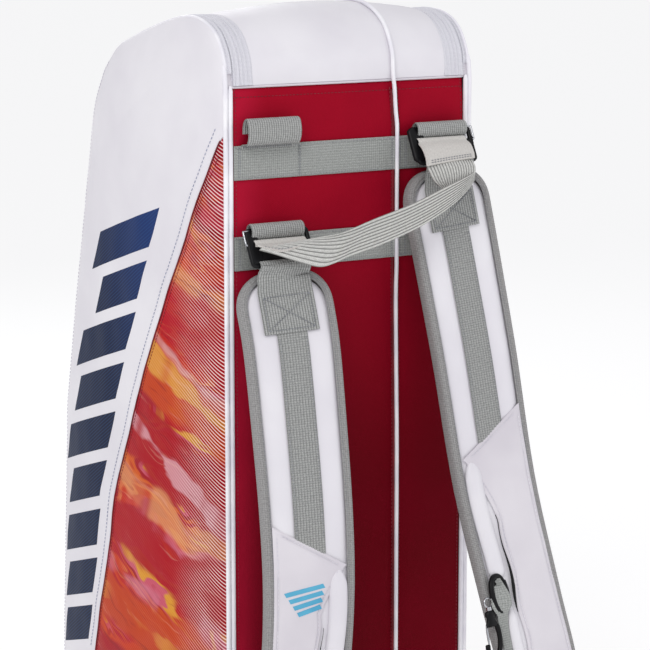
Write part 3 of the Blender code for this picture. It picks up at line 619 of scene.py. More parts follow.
class Piece:
    """Collects points, faces, material numbers and texture coordinates (metres)."""

    def __init__(self):
        self.points, self.faces, self.mats, self.uvs, self.count = [], [], [], [], 0

    def add(self, verts, faces, mat=0, uv=None):
        verts = np.asarray(verts, float).reshape(-1, 3)
        self.points.append(verts)
        self.uvs.append(verts[:, [0, 2]] if uv is None else uv.reshape(-1, 2))
        self.faces += [tuple(i + self.count for i in face) for face in faces]
        self.mats += mat if isinstance(mat, list) else [mat] * len(faces)
        self.count += len(verts)

    def shell(self, outer, inner, mat=0, inner_mat=0, uv=None):
        """A closed sheet between two grids of points. UV defaults to (y, z)."""
        rows, cols = outer.shape[:2]
        faces, mats = [], []

        def out(row, col):
            return row * cols + col

        def back(row, col):
            return rows * cols + row * cols + col

        for r in range(rows - 1):
            for c in range(cols - 1):
                faces.append((out(r, c), out(r, c + 1), out(r + 1, c + 1), out(r + 1, c)))
                faces.append((back(r, c), back(r + 1, c), back(r + 1, c + 1), back(r, c + 1)))
                mats += [mat, inner_mat]
        end = rows - 1
        for c in range(cols - 1):
            faces.append((out(0, c), back(0, c), back(0, c + 1), out(0, c + 1)))
            faces.append((out(end, c), out(end, c + 1), back(end, c + 1), back(end, c)))
        end = cols - 1
        for r in range(rows - 1):
            faces.append((out(r, 0), out(r + 1, 0), back(r + 1, 0), back(r, 0)))
            faces.append((out(r, end), back(r, end), back(r + 1, end), out(r + 1, end)))
        mats += [mat] * (len(faces) - len(mats))
        if uv is None:
            uv = outer[..., [1, 2]]
        verts = np.concatenate([outer.reshape(-1, 3), inner.reshape(-1, 3)])
        self.add(verts, faces, mats, np.concatenate([uv.reshape(-1, 2)] * 2))

    def sweep(self, line, across, up, section, mat=0, closed=False, scale=1.0, ribs=0):
        """Carries one (across, up) section, or one per point, along a line."""
        line = np.asarray(line, float)
        section = np.asarray(section, float)
        rings, sides = len(line), section.shape[-2]
        section = np.broadcast_to(section, (rings, sides, 2))
        across, up = (np.broadcast_to(v, line.shape)[:, None] for v in (across, up))
        scaled = section * np.broadcast_to(scale, (rings,))[:, None, None]
        verts = line[:, None] + across * scaled[..., :1] + up * scaled[..., 1:]
        u = section[..., 0] + 0.37 * section[..., 1]
        if ribs:          # one rib counts 3 mm across, so that the weave meets the ribs
            low = section[..., 0].min(1, keepdims=True)
            high = section[..., 0].max(1, keepdims=True)
            u = (section[..., 0] - low - 0.0006) / (high - low - 0.0012) * ribs * 0.003
        faces = tube_faces(rings, sides, closed)
        if not closed:
            faces.append(tuple(range(sides))[::-1])
            faces.append(tuple((rings - 1) * sides + i for i in range(sides)))
        self.add(verts, faces, mat, points(u, arc_length(line)[:, None]))

    def strip(self, line, across, half, thick, ribs, depth):
        """Ribbed webbing along a line."""
        across, up = fixed_frames(line, across)
        self.sweep(line, across, up, rib_section(half, thick, ribs, depth), ribs=ribs)

    def cord(self, line, radius, sides=10, mat=0, closed=False, ref=(1, 0, 0.3),
             round_end=False):
        """A round cord along a line."""
        line = np.asarray(line, float)
        across, up = frames(line, ref, closed)
        scale = np.ones(len(line))
        if round_end:
            scale[[0, -1]] = 0.55
        self.sweep(line, across, up, oval(radius, radius, sides), mat, closed, scale)

    def stitches(self, line, normals, pitch=0.0036, radius=0.00042, mat=0):
        """A row of sewn stitches along a line on a surface with the given normals."""
        line = np.asarray(line, float)
        normals = np.broadcast_to(normals, line.shape)
        marks = arc_length(line)
        count = max(1, int(marks[-1] / pitch))
        for number in range(count):
            start, end = (interp_rows((number + part) * marks[-1] / count, marks, line)
                          for part in (0.13, 0.87))
            middle = (number + 0.5) * marks[-1] / count
            normal = unit(interp_rows(middle, marks, normals))
            across = unit(np.cross(normal, unit(end - start)))
            verts = [start - normal * radius * 0.5]
            for part, size in ((0.12, 0.75), (0.5, 1.0), (0.88, 0.75)):
                centre = start + (end - start) * part + normal * (0.0001 + radius * 0.3)
                for i in range(5):
                    angle = 2 * math.pi * i / 5 + 0.3
                    verts.append(centre + across * radius * size * math.cos(angle)
                                 + normal * radius * size * math.sin(angle))
            verts.append(end - normal * radius * 0.5)
            self.add(verts, STITCH_FACES, mat)

    def make(self, name, body, materials, slot, replaces=None, angle=38, recalc=True):
        mesh = bpy.data.meshes.new(name)
        mesh.from_pydata(np.concatenate(self.points).tolist(), [], self.faces)
        layer = mesh.uv_layers.new(name="UVMap")
        uv = np.concatenate(self.uvs)
        corners = np.empty(len(mesh.loops), np.int32)
        mesh.loops.foreach_get("vertex_index", corners)
        layer.data.foreach_set("uv", uv[corners].astype(np.float32).ravel())
        mesh.polygons.foreach_set("material_index", np.array(self.mats, np.int32))
        for material in materials:
            mesh.materials.append(material)
        if recalc:
            work = bmesh.new()
            work.from_mesh(mesh)
            bmesh.ops.recalc_face_normals(work, faces=work.faces)
            work.to_mesh(mesh)
            work.free()
        mesh.shade_smooth()
        mesh.set_sharp_from_angle(angle=math.radians(angle))
        mesh.update()
        ob = bpy.data.objects.new(name, mesh)
        scene.collection.objects.link(ob)
        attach(ob, body)
        if replaces:
            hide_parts(replaces)
        return ob


# ---------------------------------------------------------------- side profile
FRONT_TOP, FRONT_LOW = vec(0.151, 0.3634), vec(0.168, 0.110)
# (y, z) control points of the dome, and of the front from the dome down to FRONT_TOP
DOME_POINTS = [(BACK_Y, DOME_FOOT_Z), (-0.150, 0.716), (-0.132, 0.738), (-0.098, CROWN_Z),
               (-0.050, 0.7410), (0.010, 0.7245), (0.042, 0.7120), (0.066, 0.6910)]
FRONT_POINTS = [(0.066, 0.6910), (0.085, 0.655), (0.097, 0.600), (0.124, 0.485),
                tuple(FRONT_TOP)]
# (y, z) of the seam between the white and the printed side panel
WEDGE = vec((BACK_Y, 0.650), (-0.110, 0.555), (-0.027, 0.397), (0.0185, 0.296),
            (0.0365, 0.229), (0.070, 0.132), (0.110, 0.0))
# sewn seam across the upper front corner of a side panel
SEAM_START, SEAM_END = vec(0.0800, 0.6008), vec(-0.0454, 0.6801)

slope_down = unit(FRONT_LOW - FRONT_TOP)
slope_out = vec(-slope_down[1], slope_down[0])
FRONT_DOWN, FRONT_OUT = vec(0, *slope_down), vec(0, *slope_out)   # flat part of the front


def base_corner():
    """Rounded corner from the front down to the base, eased to end at z = 0."""
    centre = FRONT_LOW - slope_out * BASE_R
    start = math.atan2(slope_out[1], slope_out[0])
    corner = np.array([centre + vec(math.cos(a), math.sin(a)) * BASE_R
                       for a in np.linspace(start, -math.pi / 2, 25)[1:]])
    drop = corner[-1][1]
    corner[:, 1] -= drop * (FRONT_LOW[1] - corner[:, 1]) / (FRONT_LOW[1] - drop)
    return corner


dome_curve = spline(DOME_POINTS, 10)
front_curve = np.concatenate([spline(FRONT_POINTS, 10), [FRONT_LOW], base_corner()])
heel_curve = np.array([(BACK_Y + HEEL_R - HEEL_R * math.cos(a), HEEL_R - HEEL_R * math.sin(a))
                       for a in np.linspace(0, math.pi / 2, 10)])
outline = np.concatenate([dome_curve, front_curve[1:]])
crown_index = int(outline[:, 1].argmax())
rise, fall = outline[:crown_index + 1], outline[crown_index:]
dome_line = resample(dome_curve, 0.005)
dome_marks = arc_length(dome_line)


def y_front(z):
    return np.interp(z, fall[::-1, 1], fall[::-1, 0])


def y_back(z):
    z = np.asarray(z, float)
    dome = np.interp(z, rise[:, 1], rise[:, 0])
    depth = np.maximum(0, HEEL_R - z)
    heel = BACK_Y + HEEL_R - np.sqrt(np.maximum(0.0, HEEL_R ** 2 - depth ** 2))
    return np.where(z >= DOME_FOOT_Z, dome, np.where(z < HEEL_R, heel, BACK_Y))


def wedge_y(z):
    return np.interp(z, WEDGE[::-1, 1], WEDGE[::-1, 0])


def outward(profile):
    """Normals of a (y, z) line that runs from back to front over the top."""
    tangents = unit(np.gradient(profile, axis=0))
    return points(-tangents[:, 1], tangents[:, 0])


def crown_height(marks):
    """Crown of the dome along its length: nearly flat at the back panel, full on top."""
    part = marks / marks[-1]
    return (0.0008 + 0.0092 * np.minimum(1.0, part * 14 / 5.0)
            - 0.004 * np.maximum(0.0, (part * 14 - 10) / 4.0))


def on_front(z, x, lift):
    """Point at a height above the flat part of the front."""
    part = (z - FRONT_TOP[1]) / (FRONT_LOW[1] - FRONT_TOP[1])
    place = FRONT_TOP + (FRONT_LOW - FRONT_TOP) * part
    return vec(x, place[0], place[1]) + FRONT_OUT * lift


# ---------------------------------------------------------------- surface of the side panels
def side_bulge(y, z):
    back, front = y_back(z), y_front(z)
    part = np.clip((y - back) / np.maximum(1e-6, front - back), 0, 1)
    height = np.clip(np.asarray(z) / CROWN_Z, 0, 1)
    round_across = np.maximum(0.0, 4 * part * (1 - part)) ** 0.6
    return BULGE * round_across * (1 - (2 * height - 1) ** 6)


def corner_seam_distance(y, z):
    run = SEAM_END - SEAM_START
    part = ((y - SEAM_START[0]) * run[0] + (z - SEAM_START[1]) * run[1]) / (run @ run)
    part = np.clip(part, 0, 1)
    return np.hypot(y - SEAM_START[0] - run[0] * part, z - SEAM_START[1] - run[1] * part)


def relief(y, z):
    """Sag, creases and seams of the side panels, added to the bulge."""
    flat = points(y, z, 0.0)
    height = (0.0011 * noise_at(flat * [1.0, 1.6, 1], 11.0, 3.0)
              + 0.0005 * noise_at(flat * [1.3, 1.0, 1], 34.0, 9.0))
    # long soft creases that run down from the dome
    height += 0.0006 * noise_at(points(y * 26 + z * 5, z * 4, 0.0), 1.0, 21.0)
    wedge_seam = np.abs(y - wedge_y(z)) * 0.86
    height = height - np.where(z < WEDGE_TOP_Z, 0.0013 * bell(wedge_seam, 0.0028), 0.0)
    height -= 0.0007 * bell(corner_seam_distance(y, z), 0.0014)
    # the panels are drawn in at their sewn rim
    rim = np.minimum(y - y_back(z), y_front(z) - y)
    rim = np.minimum(rim, np.maximum(0.0, CROWN_Z - z) * 1.5)
    return height * ease(rim / 0.02) - 0.0011 * falloff(rim, 0.006)


def on_side(y, z, sign, lift=0.0):
    """Point on the outer face of a side panel; sign is -1 on the left, 1 on the right."""
    y, z = np.broadcast_arrays(np.asarray(y, float), np.asarray(z, float))
    return points(sign * (SIDE_X + side_bulge(y, z) + relief(y, z) + lift), y, z)


def side_normal(y, z, sign):
    reach = 0.001
    along_y = on_side(y + reach, z, sign) - on_side(y - reach, z, sign)
    along_z = on_side(y, z + reach, sign) - on_side(y, z - reach, sign)
    normal = unit(np.cross(along_y, along_z))
    return normal * np.where(normal[..., :1] * sign > 0, 1, -1)


def side_line(profile, sign, lift, step=0.0025):
    """Points and normals along a (y, z) line on a side panel."""
    y, z = resample(profile, step).T
    return on_side(y, z, sign, lift), side_normal(y, z, sign)


# ---------------------------------------------------------------- shell of the bag
def gusset(name, node, curve, crown, seams, seed):
    """Crowned sheet that follows a (y, z) curve between the two zips."""
    marks = arc_length(curve)
    edge_x = GUSSET - 0.006
    xs = np.concatenate([np.linspace(-GUSSET, -edge_x, 5)[:-1], np.linspace(-edge_x, edge_x, 49),
                         np.linspace(edge_x, GUSSET, 5)[1:]])
    x, along = np.meshgrid(xs, marks)
    flat = points(x, along, 0.0)
    edge = GUSSET - np.abs(x)
    end = np.minimum(along - marks[0], marks[-1] - along)
    wrinkle = (0.0008 * noise_at(flat * [1, 0.8, 1], 14.0, seed)
               + 0.0004 * noise_at(flat * [1.4, 1, 1], 40.0, seed + 5))
    wrinkle = wrinkle * ease(edge / 0.03) - 0.0011 * falloff(edge, 0.0035)
    wrinkle -= 0.0006 * bell(edge - 0.0062, 0.0012)
    wrinkle -= 0.0010 * falloff(end, 0.004)
    for seam in seams:
        wrinkle -= 0.0011 * bell(along - seam, 0.0022)
    crown = np.broadcast_to(crown, marks.shape)[:, None]
    height = (crown * (1 - (x / GUSSET) ** 2) + wrinkle)[..., None]
    normal = outward(curve)
    base = points(x, curve[:, :1], curve[:, 1:])
    normals = points(x * 0.0, normal[:, :1], normal[:, 1:])
    outer = base + normals * height
    piece = Piece()
    piece.shell(outer, base + normals * (height - SHEET + 0.0002), 0, 1, points(x, along))
    sewing = Piece()
    for sign, _ in SIDES:
        col = nearest(xs, sign * (GUSSET - 0.0062))
        sewing.stitches(outer[:, col], normals[:, col], 0.0037, 0.00040)
    for seam in seams:
        for offset in (-0.0042, 0.0042):
            row = nearest(marks - seam, offset)
            sewing.stitches(outer[row], normals[row], 0.0037, 0.00040)
    piece.make(name, "bag", [WHITE, LINING], "white_pu", node)
    sewing.make(name + "_stitches", "bag", [THREAD], "white_pu", recalc=False)


def base_panel():
    """Tough cloth round the base, with five moulded ribs under it."""
    curve = np.concatenate([front_curve[-2:], [[BACK_Y + HEEL_R, 0.0]],
                            heel_curve[1:-1][::-1]])
    curve[0] = front_curve[-2] + (front_curve[-1] - front_curve[-2]) * 0.10
    curve = resample(curve, 0.004)
    normal = outward(curve)
    xs = np.linspace(-0.1215, 0.1215, 46)
    base = points(xs, curve[:, :1], curve[:, 1:])
    normals = points(xs * 0.0, normal[:, :1], normal[:, 1:])
    piece = Piece()
    piece.shell(base, base - normals * SHEET, 0, 1, base[..., [0, 1]])
    piece.make("base_panel", "bag", [BASE_CLOTH, LINING], "lining", "bottom_panel")
    piece = Piece()
    for y in np.linspace(-0.105, 0.085, 5):
        rib = [(x, y, 0.0015) for x in (-0.100, -0.09, 0.09, 0.100)]
        piece.cord(rib, 0.0015, 8, ref=(0, 0, 1), round_end=True)
    piece.make("base_runners", "bag", [BLACK], "black_plastic")


def cord_x(z):
    """Where the upright cord runs on the back panel."""
    return np.interp(z, (0.03, 0.35, 0.50, 0.65, 0.69), (0.0490, 0.0490, 0.0470, 0.0470, 0.0440))


def back_panel():
    """Thin padding with a rolled rim that dips under the bands and the cord."""
    half, low, high, seam_z = 0.1222, 0.0125, 0.6875, 0.6795
    zs = np.concatenate([np.linspace(low, 0.02, 5)[:-1], np.linspace(0.02, 0.672, 140),
                         np.linspace(0.672, high, 9)[1:]])
    xs = np.concatenate([np.linspace(-half, -0.116, 5)[:-1], np.linspace(-0.116, 0.116, 70),
                         np.linspace(0.116, half, 5)[1:]])
    x, z = np.meshgrid(xs, zs)
    lean = np.interp(z, [0, 0.662, 0.678, high], [0, 0, 0.0008, 0.0020])
    flat = points(x, z, 0.0)
    puff = 0.0011 + 0.0011 * noise_at(flat, 13.0, 4.0) + 0.0005 * noise_at(flat, 37.0, 8.0)
    puff = np.maximum(puff, -0.0002)
    puff = puff * ease((np.abs(x - cord_x(z)) - 0.001) / 0.012)
    for band_z in (UPPER_BAND_Z, LOWER_BAND_Z):
        puff = puff * ease((np.abs(z - band_z) - 0.0155) / 0.008)
    rim = np.minimum(np.minimum(x + half, half - x), np.minimum(z - low, high - z))
    puff = puff * ease(rim / 0.012) - 0.0012 * falloff(rim, 0.004)
    puff -= 0.0005 * bell(z - seam_z, 0.0012)
    outer = points(x, BACK_Y + lean - puff, z)
    piece = Piece()
    piece.shell(outer, points(x, BACK_Y + lean + SHEET, z), 0, 1, points(x, z))
    piece.make("back_cloth", "bag", [RED, LINING], "red_pu", "back_panel")
    sewing = Piece()
    sewing.stitches(outer[nearest(zs, seam_z)] + BACK * 0.0001, BACK, radius=0.00036)
    for sign, _ in SIDES:
        sewing.stitches(outer[:, nearest(xs, sign * 0.1185)], BACK, radius=0.00036)
    z = np.linspace(0.03, 0.683, 120)
    for offset in (-0.0042, 0.0042):
        line = points(cord_x(z) + offset, BACK_Y - 0.00055, z)
        sewing.stitches(line, BACK, radius=0.00036)
    sewing.make("back_cloth_stitches", "bag", [THREAD_RED], "red_pu", recalc=False)


def inner_wall():
    z = np.linspace(0.0045, 0.7385, 60)
    back = y_back(z) + 0.0062 + np.where(z < 0.01, 0.008, 0)
    front = y_front(z) - np.where(z < 0.01, 0.030, 0.0080)
    part = np.linspace(0, 1, 30)
    y = back[:, None] + (front - back)[:, None] * part
    z = z[:, None]
    wobble = 0.0022 * noise_at(points(y, z, 0.0), 9.0, 40.0)
    wobble = wobble * ease(np.minimum(part, 1 - part) * 5)
    piece = Piece()
    piece.shell(points(DIVIDER_X + wobble, y, z), points(DIVIDER_X + 0.0015 + wobble, y, z))
    piece.make("inner_wall", "bag", [LINING], "lining", "divider")


def centre_cord():
    """Cord over the dome and down the back panel, on a flat sewn flange."""
    lift = crown_height(dome_marks) * (1 - (DIVIDER_X / GUSSET) ** 2) + 0.0021
    top = dome_line + outward(dome_line) * lift[:, None]
    line = [(DIVIDER_X - 0.004, y, z) for y, z in top[::-1]][:-2]
    line += [(DIVIDER_X - 0.0035, BACK_Y - 0.0024, 0.6905),
             (DIVIDER_X - 0.0025, BACK_Y - 0.0027, 0.682)]
    # it stands further out where it crosses the bands
    line += [(float(cord_x(z)), BACK_Y - (0.0036 if 0.51 < z < 0.66 else 0.0024), z)
             for z in (0.66, 0.645, 0.60, 0.56, 0.522, 0.49, 0.42, 0.35, 0.25, 0.14, 0.03)]
    piece = Piece()
    piece.cord(resample(spline(line, 3), 0.003), 0.0019, round_end=True)
    z = np.linspace(0.034, 0.68, 90)
    for offset in (-0.0024, 0.0024):
        piece.cord(points(cord_x(z) + offset, BACK_Y - 0.0007, z), 0.0011, 6, 1, ref=X_AXIS)
    piece.make("centre_cord", "bag", [CORD, DARK_RED], "white_pu", "center_piping")


def top_hem():
    """Hem where the dome meets the back panel, with a bound corner at each end."""
    piece = Piece()
    line = points(np.linspace(-0.1236, 0.1236, 90), BACK_Y + 0.0019, 0.6886)
    piece.cord(line, 0.0013, ref=(0, 0, 1), round_end=True)
    z = np.linspace(0.6882, 0.7060, 8)[:, None]
    for sign, _ in SIDES:
        outer = points(np.linspace(0.1105, 0.1285, 8) * sign, y_back(z) + 0.0012, z)
        piece.shell(outer, outer - BACK * 0.0022)
    # the hem takes the darker white as painted shade, toning down its face that turns to the
    # light
    piece.make("top_hem", "bag", [WHITE_SHADED], "white_pu")


# ---------------------------------------------------------------- zips
# sections of the two tapes: distance from x = 0, height above the side profile
BODY_TAPE = [
    (0.1015, -0.0006), (0.1015, 0.0003), (0.1023, 0.0009), (0.1036, 0.0009), (0.1043, 0.0003),
    (0.1062, 0.0003), (0.1070, 0.0010), (0.1083, 0.0010), (0.1090, 0.0003), (0.1109, 0.0004),
    (0.1118, 0.0010), (0.1128, 0.0004), (0.1140, 0.0002), (0.1146, 0.0009), (0.1156, 0.0013),
    (0.1164, 0.0007), (0.1170, 0.0002), (0.1184, 0.0002), (0.1190, 0.0007), (0.1198, 0.0011),
    (0.1206, 0.0012), (0.1213, 0.0008), (0.12145, 0.0000), (0.1212, -0.0012)]
LID_TAPE = [
    (0.1221, -0.0013), (0.12205, 0.0000), (0.1223, 0.0008), (0.1230, 0.0012), (0.1238, 0.0011),
    (0.1245, 0.0006), (0.1250, 0.0001), (0.1262, 0.0001), (0.1268, -0.0002), (0.1270, -0.0013)]
zip_curve = resample(np.concatenate([dome_curve, front_curve[1:-3]]), 0.004)
lid_zip_curve = resample(np.concatenate([dome_curve[4:], front_curve[1:-3]]), 0.004)
COIL_FACES = [(0, 1, 2, 3), (8, 11, 10, 9)] + tube_faces(3, 4)


def on_profile(curve):
    """A (y, z) line and its normals at x = 0."""
    return tuple(points(0.0, pairs[:, 0], pairs[:, 1]) for pairs in (curve, outward(curve)))


def coil_half(name, body, sign, start_x, end_x):
    """Half of the coil: closely set turns that stand across the zip."""
    line, normals = on_profile(resample(zip_curve, 0.0016))
    half = 0.00042
    piece = Piece()
    for i in range(3, len(line) - 3):
        normal = normals[i]
        along = vec(0, normal[2], -normal[1])
        verts = []
        for x, height, wide in ((start_x, 0.0009, half * 0.7),
                                ((start_x + end_x) / 2, 0.0016, half),
                                (end_x, 0.0010, half * 0.7)):
            for offset, up in ((-wide, 0.0), (0, 0.00035), (wide, 0.0), (0, -0.0005)):
                verts.append(line[i] + vec(sign * x, 0, 0) + along * offset
                             + normal * (height + up - 0.0004))
        piece.add(verts, [face if i < 2 else (face[0], face[3], face[2], face[1])
                          for i, face in enumerate(COIL_FACES)])
    piece.make(name, body, [COIL], "zip_tape")


def zip_side(sign, side):
    """Edge cord, the two tapes of the zip and the coil between them."""
    lid = f"{side}_lid"
    across = vec(sign, 0, 0)
    piece = Piece()
    line = points(sign * 0.1244, BACK_Y, np.linspace(0.022, 0.690, 160))
    piece.cord(line, 0.00225, 12, round_end=True)
    piece.make(f"{side}_edge_cord", "bag", [CORD], "white_pu", f"{side}_edge_piping")

    line, normals = on_profile(zip_curve)
    piece, sewing = Piece(), Piece()
    piece.sweep(line, across, normals, BODY_TAPE)
    piece.make(f"{side}_body_tape", "bag", [TAPE], "zip_tape", f"{side}_zip_tape")
    coil_half(f"{side}_coil_body", "bag", sign, 0.1201, 0.12165)
    coil_half(f"{side}_coil_lid", lid, sign, 0.12185, 0.1233)
    sewing.stitches(line + across * 0.1133 + normals * 0.0002, normals, 0.0034, 0.00034)
    sewing.make(f"{side}_body_tape_stitches", "bag", [THREAD], "zip_tape", recalc=False)

    line, normals = on_profile(lid_zip_curve)
    piece, sewing = Piece(), Piece()
    piece.sweep(line, across, normals, LID_TAPE)
    piece.cord(line + across * 0.1279 - normals * 0.0006, 0.00155, 8, 1, ref=across,
               round_end=True)
    piece.make(f"{side}_rim_tape", lid, [TAPE, CORD], "zip_tape", f"{side}_lid_tape")
    sewing.stitches(line + across * 0.1256 + normals * 0.0001, normals, 0.0034, 0.00034)
    sewing.make(f"{side}_rim_tape_stitches", lid, [THREAD], "zip_tape", recalc=False)


# ---------------------------------------------------------------- lids
def lid_panel(sign, z, back, front):
    """Sheet of a side panel between two y limits, with closer columns at its edges."""
    cols = np.linspace(0, 1, 64)
    cols = 0.5 - 0.5 * np.cos(math.pi * cols) * 0.55 + (cols - 0.5) * 0.45
    cols = (cols - cols[0]) / (cols[-1] - cols[0])
    y = back[:, None] + (front - back)[:, None] * cols
    outer = on_side(y, z[:, None], sign)
    piece = Piece()
    piece.shell(outer, outer - X_AXIS * sign * 0.0022, 0, 1)
    return piece


def between(profile, low, high):
    return profile[(profile[:, 1] > low) & (profile[:, 1] < high)]


def printed_bars(sign):
    """A climbing row of plain slanted blocks."""
    piece = Piece()
    height, slope = 0.0375, 0.30
    for i in range(9):
        low = 0.140 + 0.0500 * i
        middle = low + height / 2
        gap = 0.017 + 0.0040 * i
        start = wedge_y(middle) + gap
        room = (y_front(middle) - wedge_y(middle) - 0.03) / 0.115
        width = (0.118, 0.100, 0.118, 0.088)[i % 4] * min(1.0, room)
        end = min(y_front(middle) - 0.016, start + width)
        along, up = np.meshgrid(np.linspace(0, 1, max(3, int((end - start) / 0.003))),
                                np.linspace(0, 1, 9))
        y = wedge_y(low + height * up) + gap + (end - start) * along
        z = low + height * up - (end - start) * along * slope
        piece.shell(on_side(y, z, sign, 0.00012), on_side(y, z, sign, -0.0004))
    return piece


def lid(sign, side):
    body = f"{side}_lid"
    top_z = 0.7462
    z = np.concatenate([np.linspace(0.006, 0.64, 118),
                        0.64 + (top_z - 0.64) * (1 - (1 - np.linspace(0, 1, 46)[1:]) ** 1.8)])
    back = np.where(z < WEDGE_TOP_Z, wedge_y(z), y_back(z)) + 0.0004
    white = lid_panel(sign, z, back, y_front(z) - 0.0006)
    white.make(f"{side}_white_panel", body, [WHITE, LINING], "white_pu", f"{side}_side_panel")
    z = np.linspace(0.006, 0.6475, 120)
    printed = lid_panel(sign, z, y_back(z) + 0.0006, wedge_y(z) - 0.0004)
    printed.make(f"{side}_printed_panel", body, [PRINT, LINING], "printed_pu",
                 f"{side}_print_panel")

    # stitches on both sides of the seam and along the front rim
    seam = resample(WEDGE[:-1], 0.004)
    run = unit(np.gradient(seam, axis=0))
    front = points(-run[:, 1], run[:, 0])
    front = front * np.sign(front[:, :1] + 1e-9)
    z = np.linspace(0.03, 0.70, 120)
    sewing = Piece()
    for profile, pitch, radius, mat in (
            (between(seam + front * 0.0085, 0.02, 0.655), 0.0040, 0.00046, 0),
            (between(seam - front * 0.0050, 0.02, 0.630), 0.0036, 0.00036, 1),
            (points(y_front(z) - 0.0065, z), 0.0038, 0.00036, 2)):
        line, normals = side_line(profile, sign, 0.0001)
        sewing.stitches(line, normals, pitch, radius, mat)
    sewing.make(f"{side}_panel_stitches", body, [THREAD_BLUE, THREAD_RED, THREAD], "white_pu",
                recalc=False)

    # dark cord in the seam between white and print
    piece = Piece()
    line, _ = side_line(between(seam, 0.012, 0.646), sign, 0.0003, 0.003)
    piece.cord(line, 0.00085, 6, ref=(sign, 0, 0))
    piece.make(f"{side}_seam_cord", body, [DARK_RED], "printed_pu")
    printed_bars(sign).make(f"{side}_printed_bars", body, [NAVY], "white_pu")
    # cord along the back edge
    piece = Piece()
    z = np.linspace(0.010, 0.7080, 130)
    piece.cord(points(sign * 0.1289, y_back(z) + 0.0004, z), 0.0022, 12, round_end=True)
    piece.make(f"{side}_hinge_cord", body, [CORD], "white_pu")


# ---------------------------------------------------------------- webbing on the back panel
def band(name, band_z):
    """Flat webbing across the back panel, sewn beside each loop and beside the cord."""
    xs = np.linspace(-0.1218, 0.1218, 110)
    ys = BACK_Y - 0.00135 - 0.0004 * bell(xs - DIVIDER_X, 0.004) - 0.00015 * np.sin(xs * 260)
    piece, sewing = Piece(), Piece()
    piece.strip(points(xs, ys, band_z), (0, 0, 1), 0.015, 0.0017, 12, 0.00018)
    piece.make("webbing_" + name, "bag", [WEB_BAND], "grey_webbing", name)
    columns = [(loop_x + offset, BACK_Y - 0.0021) for loop_x in (-LOOP_X, RIGHT_LOOP_X)
               for offset in (-0.0300, 0.0300, -0.0315, 0.0315)]
    columns += [(DIVIDER_X + offset, BACK_Y - 0.0022) for offset in (-0.0045, 0.0045)]
    for x, y in columns:
        line = points(x, y, np.linspace(band_z - 0.013, band_z + 0.013, 12))
        sewing.stitches(line, BACK, 0.0026, 0.00045)
    for offset in (-0.0132, 0.0132):
        sewing.stitches(points(xs, ys - 0.0008, band_z + offset), BACK, 0.0032, 0.00034)
    sewing.make(name + "_stitches", "bag", [THREAD_GREY], "grey_webbing", recalc=False)


def web_loop(place, x, loop_z, fill=1.0, tall=0.0066, rows=(-0.0140, -0.0122)):
    """A tube of webbing, open at both ends, sewn down on the band by two rows."""
    foot_y = BACK_Y - 0.0027
    centre_y = BACK_Y + (LOOP_Y - BACK_Y) * (0.45 + 0.55 * fill)
    radius = 0.0058 * fill - 0.0006
    line = [(x, foot_y - 0.0002, loop_z - 0.0155), (x, foot_y - 0.0004, loop_z - 0.012)]
    for k in range(29):
        angle = math.radians(-100 + 290 * k / 28)
        y = min(centre_y - radius * math.cos(angle), foot_y - 0.0004)
        line.append((x, max(y, centre_y - radius), loop_z + tall * math.sin(angle)))
    half = LOOP_W / 2
    piece, sewing = Piece(), Piece()
    piece.strip(resample(line, 0.0011), X_AXIS, half, 0.0014, 23, 0.00036)
    piece.make(f"web_loop_{place}", "bag", [WEB_BOLD], "grey_webbing", f"loop_{place}",
               angle=50)
    xs = np.linspace(x - half + 0.002, x + half - 0.002, 30)
    for offset in rows:
        sewing.stitches(points(xs, foot_y - 0.0010, loop_z + offset), BACK, 0.0028, 0.00045)
    sewing.make(f"web_loop_{place}_stitches", "bag", [THREAD_GREY], "grey_webbing",
                recalc=False)


